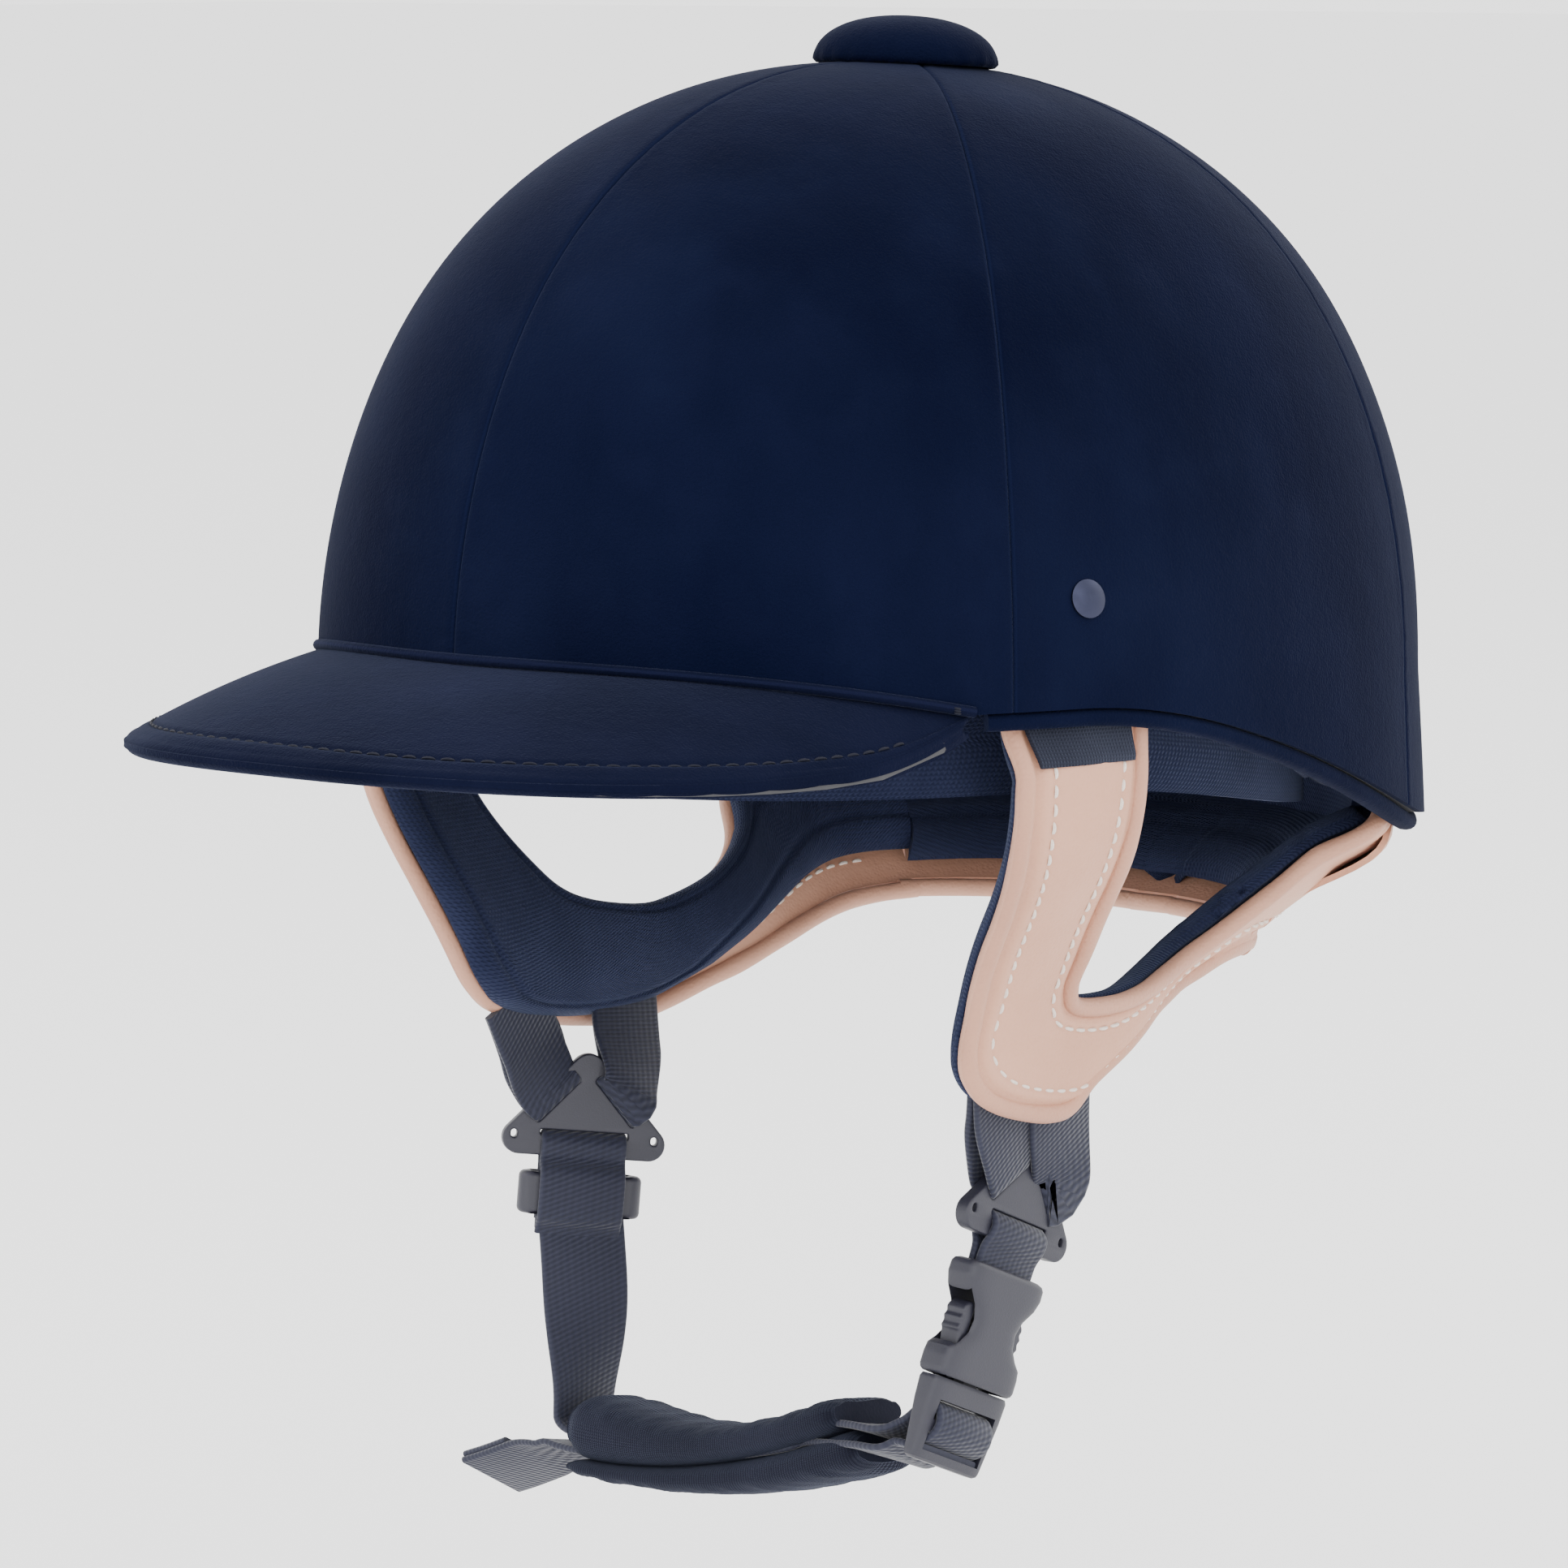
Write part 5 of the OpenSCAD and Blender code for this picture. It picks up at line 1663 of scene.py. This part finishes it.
    def divider(self, name: str, place: Placer, lift: float) -> None:
        """Three-slot divider of moulded plastic, lifted a little in its place."""
        outline = []
        corners = ((0, -10.0, 3.9, 41, 139), (-14.5, -25.5, 3.6, 139, 270), (14.5, -25.5, 3.6, 270, 401))
        for cx, cy, r, first, last in corners:
            for a in np.linspace(first, last, 12):
                outline.append((cx + r * cosd(a), cy + r * sind(a)))
        holes = [rounded_box(self.web_w / 2 + 0.3, 0.62, 0.5) + np.array([0, -23.95])]
        for s in (-1, 1):
            hole = rounded_box(6.6, 0.7, 0.55)
            c, n = cosd(-48 * s), sind(-48 * s)
            holes.append(hole @ np.array([[c, n], [-n, c]]) + np.array([6.5 * s, -16.5]))
            holes.append(rounded_box(0.75, 0.9, 0.7, 4) + np.array([15.6 * s, -24.6]))
        flat = lambda p: place(np.stack([p[:, 2], p[:, 0], p[:, 1] + lift], axis=1))
        piece = self.shop.plate(f"slot_divider_{name}", np.array(outline), holes, 3.4, 0.5, flat)
        self.shop.dress(piece, Finish.PLASTIC, "strap_carrier", f"divider_{name}")

    def bar_webbing(self, name: str, node: str, place: Placer, front: float, rear: float) -> None:
        """Webbing doubled over a divider's lower bar; z runs down."""
        route = np.array([[-1.0, 0, front], [-1.1, 0, 5], [-2.3, 0, 1.6], [-2.3, 0, -1.0], [0, 0, -2.7],
                          [2.3, 0, -1.0], [2.3, 0, 1.6], [1.1, 0, 5], [1.0, 0, rear]])
        path = even_path(curve_at(route, np.linspace(0, 1, 120)), 0.7)
        wide = np.repeat(place.turned(np.array([[0, 1.0, 0]])), len(path), axis=0)
        self.strap(name, place(path), wide, "strap_carrier", node)

    def slider(self) -> None:
        """The slider round the doubled webbing, with the outer layer running over its bar."""
        outline = rounded_box(13.6, 3.3, 2.8, 8)
        hole = rounded_box(self.web_w / 2 + 0.7, 2.35, 0.8)
        flat = lambda p: self.hanging(np.stack([p[:, 1], p[:, 0], p[:, 2] + self.slider_at], axis=1))
        piece = self.shop.plate("web_slider", outline, [hole], 9.4, 1.3, flat)
        self.shop.dress(piece, Finish.PLASTIC, "slider", "strap_slider")
        route = np.array([[1.6, 0, -8.6], [2.4, 0, -6.6], [4.1, 0, -4.6], [4.6, 0, -1.5], [4.5, 0, 2.0],
                          [4.0, 0, 4.8], [2.3, 0, 6.8], [1.5, 0, 8.8]]) + np.array([0, 0, self.slider_at])
        path = even_path(curve_at(route, np.linspace(0, 1, 120)), 0.7)
        wide = np.repeat(self.hanging.turned(np.array([[0, 1.0, 0]])), len(path), axis=0)
        self.strap("slider_wrap", self.hanging(path), wide, "slider")

    def body_loft(self, name: str, z: Array, wide: Array, thick: Array, power: float = 4.5) -> bpy.types.Object:
        """A moulded body of rounded sections down the buckle."""
        a = np.radians(np.linspace(0, 360, 56, endpoint=False))
        c, s = np.cos(a), np.sin(a)
        x = np.sign(c) * np.abs(c) ** (2 / power) * thick[:, None] / 2
        y = np.sign(s) * np.abs(s) ** (2 / power) * wide[:, None] / 2
        rings = np.stack(np.broadcast_arrays(x, y, z[:, None]), axis=-1)
        return self.shop.mesh(name, lofted(self.buckle(rings)), 35)

    def socket(self) -> None:
        """The buckle's socket, waisted where the plug's side arms are pressed."""
        low, high = self.socket_from, self.socket_to
        places = np.array([0, 0.4, 1.2, 3.5, 6, 9, 12, 15, 17.5, 19, 21, 23.8, 24.6, 25]) / 25
        halves = np.array([11.6, 12.6, 13, 13, 11.8, 9.0, 7.8, 8.4, 10.6, 12.6, 13, 13, 12.7, 12.2])
        depths = np.array([3.4, 4.1, 4.6, 4.7, 4.7, 4.65, 4.6, 4.6, 4.65, 4.7, 4.75, 4.75, 4.5, 4.0])
        k = np.linspace(0, 1, 60)
        piece = self.body_loft("buckle_body", mix(low, high, k), 2 * np.interp(k, places, halves),
                               2 * np.interp(k, places, depths))
        inner_t = self.buckle_t - 2.8
        half = self.web_w / 2 + 0.4
        self.shop.cut(piece, block((-inner_t / 2, -11.2, low + 5), (inner_t / 2, 11.2, high + 4), self.buckle),
                      block((-2.4, -half, low - 3), (2.4, half, low + 4), self.buckle))
        self.shop.dress(piece, Finish.PLASTIC, "strap_carrier", "buckle_socket")

    def plug(self) -> None:
        """The plug: a ladder for the webbing, with a tongue into the socket."""
        top = self.socket_to + 0.5
        k = np.linspace(0, 1, 40)
        wide = 2 * np.interp(k, [0, 0.04, 0.3, 0.93, 0.98, 1], [12.6, 13, 12.9, 11.8, 11.4, 10.6])
        thick = 2 * np.interp(k, [0, 0.05, 0.3, 0.93, 0.98, 1], [3.1, 3.4, 3.1, 2.2, 2.0, 1.5])
        piece = self.body_loft("buckle_ladder", mix(top, top + 17.8, k), wide, thick)
        half = self.web_w / 2 + 0.3
        self.shop.cut(piece, block((-6, -half, top + 4.6), (6, half, top + 9.0), self.buckle),
                      block((-6, -half, top + 11.6), (6, half, top + 15.6), self.buckle))
        tongue = self.shop.mesh("buckle_tongue", block((-1.4, -2.2, top - 13), (1.4, 2.2, top + 0.5), self.buckle))
        self.shop.dress(tongue, Finish.PLASTIC, "chin_strap")
        self.shop.dress(piece, Finish.PLASTIC, "chin_strap", "buckle_plug")

    def prong(self, side: int, name: str) -> None:
        """One sprung side arm with a ribbed grip in the socket's window."""
        inner = [(0.2, 6.4), (4, 6.6), (12, 7.0), (15.4, 6.9)]
        grip = [(16.5, 8.2), (15.6, 9.8), (14.4, 10.5), (13.4, 10.2), (12.4, 10.7), (11.4, 10.3), (10.2, 10.6),
                (9.2, 10.0), (6, 9.6), (0.2, 9.6)]
        outline = np.array([(p[0], side * p[1]) for p in inner + grip])
        flat = lambda p: self.buckle(np.stack([p[:, 2], p[:, 1], self.socket_to - p[:, 0]], axis=1))
        smooth = curve_at(np.concatenate([outline, outline[:1]]), np.linspace(0, 1, 84)[:-1])
        piece = self.shop.plate(name + "_arm", smooth, [], 5.2, 0.7, flat)
        self.shop.dress(piece, Finish.PLASTIC, name, name)

    def arc(self, angle: Array, radius: Array) -> Array:
        """Point of the chin's arc in the loop's plane."""
        angle, radius = np.broadcast_arrays(np.asarray(angle, float), np.asarray(radius, float))
        x = self.arc_x + radius * sind(angle)
        z = self.arc_r - self.drop - radius * cosd(angle)
        return np.stack([x, 0 * x, z], axis=-1)

    def chin_webbing(self) -> None:
        """One webbing from the slider to the corner, along the chin and into the ladder."""
        top = np.array([-self.loop_half + 0.8, 0, self.bar_z + self.right_lift - self.fold_at + 4])
        end = np.array([self.corner[0], 0, self.corner[1]])
        down = np.array([mix(top, end, k) + np.array([1.2 * np.sin(np.pi * k), 0, 0]) for k in np.linspace(0, 1, 7)])
        bend = np.array([[-50.4, 0, -81.6], [-47.0, 0, -83.1]])
        under = self.arc(np.arange(0.5, 18.6, 2.0), self.arc_r)
        ladder = self.buckle(np.array([[-13.0, 0, 47.5], [-6.5, 0, 44.5], [-3.4, 0, 41.2], [-1.2, 0, 39.2],
                                       [1.6, 0, 39.4], [3.3, 0, 41.6], [3.4, 0, 44.2], [1.8, 0, 46.4],
                                       [-1.0, 0, 47.6]]))
        route = np.concatenate([self.loop(np.concatenate([down, bend, under])), ladder])
        path = even_path(curve_at(route, np.linspace(0, 1, 500)), 1.0)
        height = (path - self.loop(np.zeros((1, 3)))) @ self.loop.turned(np.array([[0, 0, 1.0]]))[0]
        twist = self.right_turn * (1 - smooth01((self.bar_z - self.fold_at - 4.5 - height) / 29.0))
        twist = np.where(path[:, 0] > -46, 0, twist)
        flat = self.loop.turned(np.stack([sind(twist), cosd(twist), 0 * twist], axis=1))
        level = self.buckle.turned(np.array([[0, 1.0, 0]]))
        wide = mix(flat, level, smooth01((path[:, 0] - 22) / 22)[:, None])
        piece = self.strap("chin_web", path, wide, "", "side_webbing", "chin_webbing")
        start = self.hanging(np.array([[0, 0, self.fold_at - 3.0]]))[0] * MM
        stop = self.hanging(np.array([[0, 0, self.fold_at + 7.0]]))[0] * MM
        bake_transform(piece)

    def tail(self) -> None:
        """The free end of the webbing, back from the ladder under the pad to its folded hem."""
        first = self.buckle(np.array([[1.6, 0, 48.6], [-2.4, 0, 48.8], [-6.5, 0, 49.0], [-12, 0, 51.4]]))
        turns = np.arange(17.0, -3.6, -2.0)
        under = self.arc(turns, self.arc_r + mix(4.0, 2.4, (turns + 3.6) / 22))
        free = np.array([[-57, 0, -88.8], [-62, 0, -91.0], [-67, 0, -93.2], [-72, 0, -95.3], [-77, 0, -97.2]])
        route = np.concatenate([first, self.loop(np.concatenate([under, free]))])
        path = even_path(curve_at(route, np.linspace(0, 1, 500)), 1.0)
        twist = -26 * smooth01((-50 - path[:, 0]) / 14)
        flat = self.loop.turned(np.stack([0 * twist, cosd(twist), sind(twist)], axis=1))
        level = self.buckle.turned(np.array([[0, 1.0, 0]]))
        wide = mix(flat, level, smooth01((path[:, 0] - 22) / 22)[:, None])
        self.strap("free_end", path, wide, "chin_strap", "webbing_tail")
        last, across = path[-14:], wide[-14:]
        lift = unit(np.cross(across, run_of(path)[-14:]))
        lift *= np.sign(lift[:, 2:3]) * self.web_t
        self.strap("hem_fold", last + lift, across, "chin_strap", width=self.web_w - 0.4)
        rows = None
        for spot in (2, 9):
            line = last[spot] + across[spot] * np.linspace(-8, 8, 20)[:, None] + lift[spot] * 1.52
            row = stitches(line, np.repeat(lift[spot][None], 20, axis=0), 2.0, 0.7, 0.3)
            rows = row if rows is None else rows.joined(row)
        self.shop.dress(self.shop.mesh("hem_stitches", rows), Finish.NAVY_THREAD, "chin_strap")

    def pad(self) -> None:
        """The chin pad: a padded roll round the webbings and a flatter cover sewn on below it."""
        self.pad_half("pad_roll", "chin_pad_top", -1.1, 19.4, (8.6, 3.6, 5.6), 1)
        self.pad_half("pad_cover", "chin_pad_cover", -1.0, 20.4, (-8.8, -10.8, -11.0), -1)

    def pad_half(self, name: str, node: str, first: float, last: float, far: tuple, side: int) -> None:
        """One half of the chin pad, between the seam and its outer face.

        Args:
            name: The piece's name.
            node: The frame node that it stands for.
            first: Angle on the chin's arc where it begins.
            last: Angle where it ends.
            far: Height of the outer face over the webbing at the start, middle and end.
            side: 1 above the seam, -1 below it.
        """
        k = np.linspace(0, 1, 120)
        w = np.linspace(0, 360, 44, endpoint=False)
        kk, ww = np.meshgrid(k, w, indexing="ij")
        full = np.sqrt(np.maximum(0.42, 1 - np.abs(2 * kk - 1) ** 26))
        seam = curve_at(((0, -5.8), (0, -5.4), (0, -4.4), (0, -3.2), (0, -1.6)), kk)[..., 1]
        outer = curve_at(tuple((0, v) for v in far), kk)[..., 1]
        middle, half = (seam + outer) / 2, np.abs(outer - seam) / 2 + 0.35
        up = side * np.sign(sind(ww)) * np.abs(sind(ww)) ** 0.72
        folds = Waves(91 + side, 7, 25, 90)(kk) * 0.2 + Waves(95 + side, 5, 60, 150)(kk + ww / 700) * 0.13
        face = (up * side > 0.2) * smooth01((up * side - 0.2) / 0.5)
        height = middle + (up * half * full) + side * folds * face
        p = self.arc(mix(first, last, kk), self.arc_r - height)
        p[..., 1] = (12.4 + 0.25 * side) * np.sign(cosd(ww)) * np.abs(cosd(ww)) ** 0.62 * mix(1.0, full, 0.35)
        flow = np.stack([ww / 360 * 0.068, kk * 0.075], axis=-1)
        flow = np.concatenate([flow, flow[:, :1]], axis=1)
        piece = self.shop.mesh(name, lofted(self.loop(p), flow), 60)
        self.shop.dress(piece, Finish.PAD, "chin_pad", node)


# ---- Studio ----


@dataclass
class Studio:
    """Pale floor, soft lights and the camera."""

    azimuth: float = 40.0
    elevation: float = 6.0
    distance: float = 1.552
    lens: float = 163.97
    shift_x: float = -0.0538
    shift_y: float = -0.0678
    floor_z: float = -0.29

    def build(self) -> None:
        """Build the studio."""
        self.floor()
        self.light("key", (-1.1, -1.3, 1.9), 1.6, 26)
        self.light("fill", (1.7, -1.0, 0.7), 1.8, 16)
        self.light("back", (0.5, 1.8, 1.5), 1.6, 22)
        self.light("low", (0.1, -1.6, -0.12), 1.0, 7)
        world = bpy.data.worlds.new("studio")
        world.use_nodes = True
        sky = world.node_tree.nodes["Background"]
        sky.inputs[0].default_value = rgb(1.0, 1.0, 1.0)
        sky.inputs[1].default_value = 2.3
        bpy.context.scene.world = world
        self.camera()

    def floor(self) -> None:
        """A large pale floor."""
        data = bpy.data.meshes.new("floor")
        size = 30.0
        corners = ((-size, -size), (size, -size), (size, size), (-size, size))
        data.from_pydata([(x, y, self.floor_z) for x, y in corners], [], [(0, 1, 2, 3)])
        floor = bpy.data.objects.new("floor", data)
        bpy.context.scene.collection.objects.link(floor)
        paint = Paint("floor_paper")
        data.materials.append(paint.finish(Base_Color=rgb(0.93, 0.93, 0.93), Roughness=0.95, Specular_IOR_Level=0.1))

    def light(self, name: str, place: tuple, size: float, power: float) -> None:
        """A soft square light aimed at the helmet."""
        lamp = bpy.data.lights.new(name, "AREA")
        lamp.size = size
        lamp.energy = power
        holder = bpy.data.objects.new(name, lamp)
        holder.matrix_world = self.aim(np.array(place))
        bpy.context.scene.collection.objects.link(holder)

    def aim(self, place: Array) -> Matrix:
        """Where something stands that looks at the origin from a place."""
        back = unit(place)
        side = unit(np.cross(np.array([0, 0, 1.0]), back))
        up = np.cross(back, side)
        turned = Matrix(np.column_stack([side, up, back]).tolist()).to_4x4()
        return Matrix.Translation(place.tolist()) @ turned

    def camera(self) -> None:
        """The camera, with the shift that the framing needs."""
        data = bpy.data.cameras.new("camera")
        data.lens = self.lens
        data.sensor_width = 36.0
        data.shift_x = self.shift_x
        data.shift_y = self.shift_y
        holder = bpy.data.objects.new("camera", data)
        a, e = self.azimuth, self.elevation
        back = np.array([sind(a) * cosd(e), -cosd(a) * cosd(e), sind(e)])
        holder.matrix_world = self.aim(back * self.distance)
        bpy.context.scene.collection.objects.link(holder)
        bpy.context.scene.camera = holder


def main() -> None:
    """Build the studio, then the helmet's sub-assemblies in order."""
    logging.basicConfig(level=logging.INFO, format="%(message)s")
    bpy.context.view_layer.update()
    shop = Workshop()
    for part in (Studio(), Crown(shop), Peak(shop), Inside(shop), Harness(shop), ChinStrap(shop)):
        part.build()


if __name__ == "__main__":
    main()
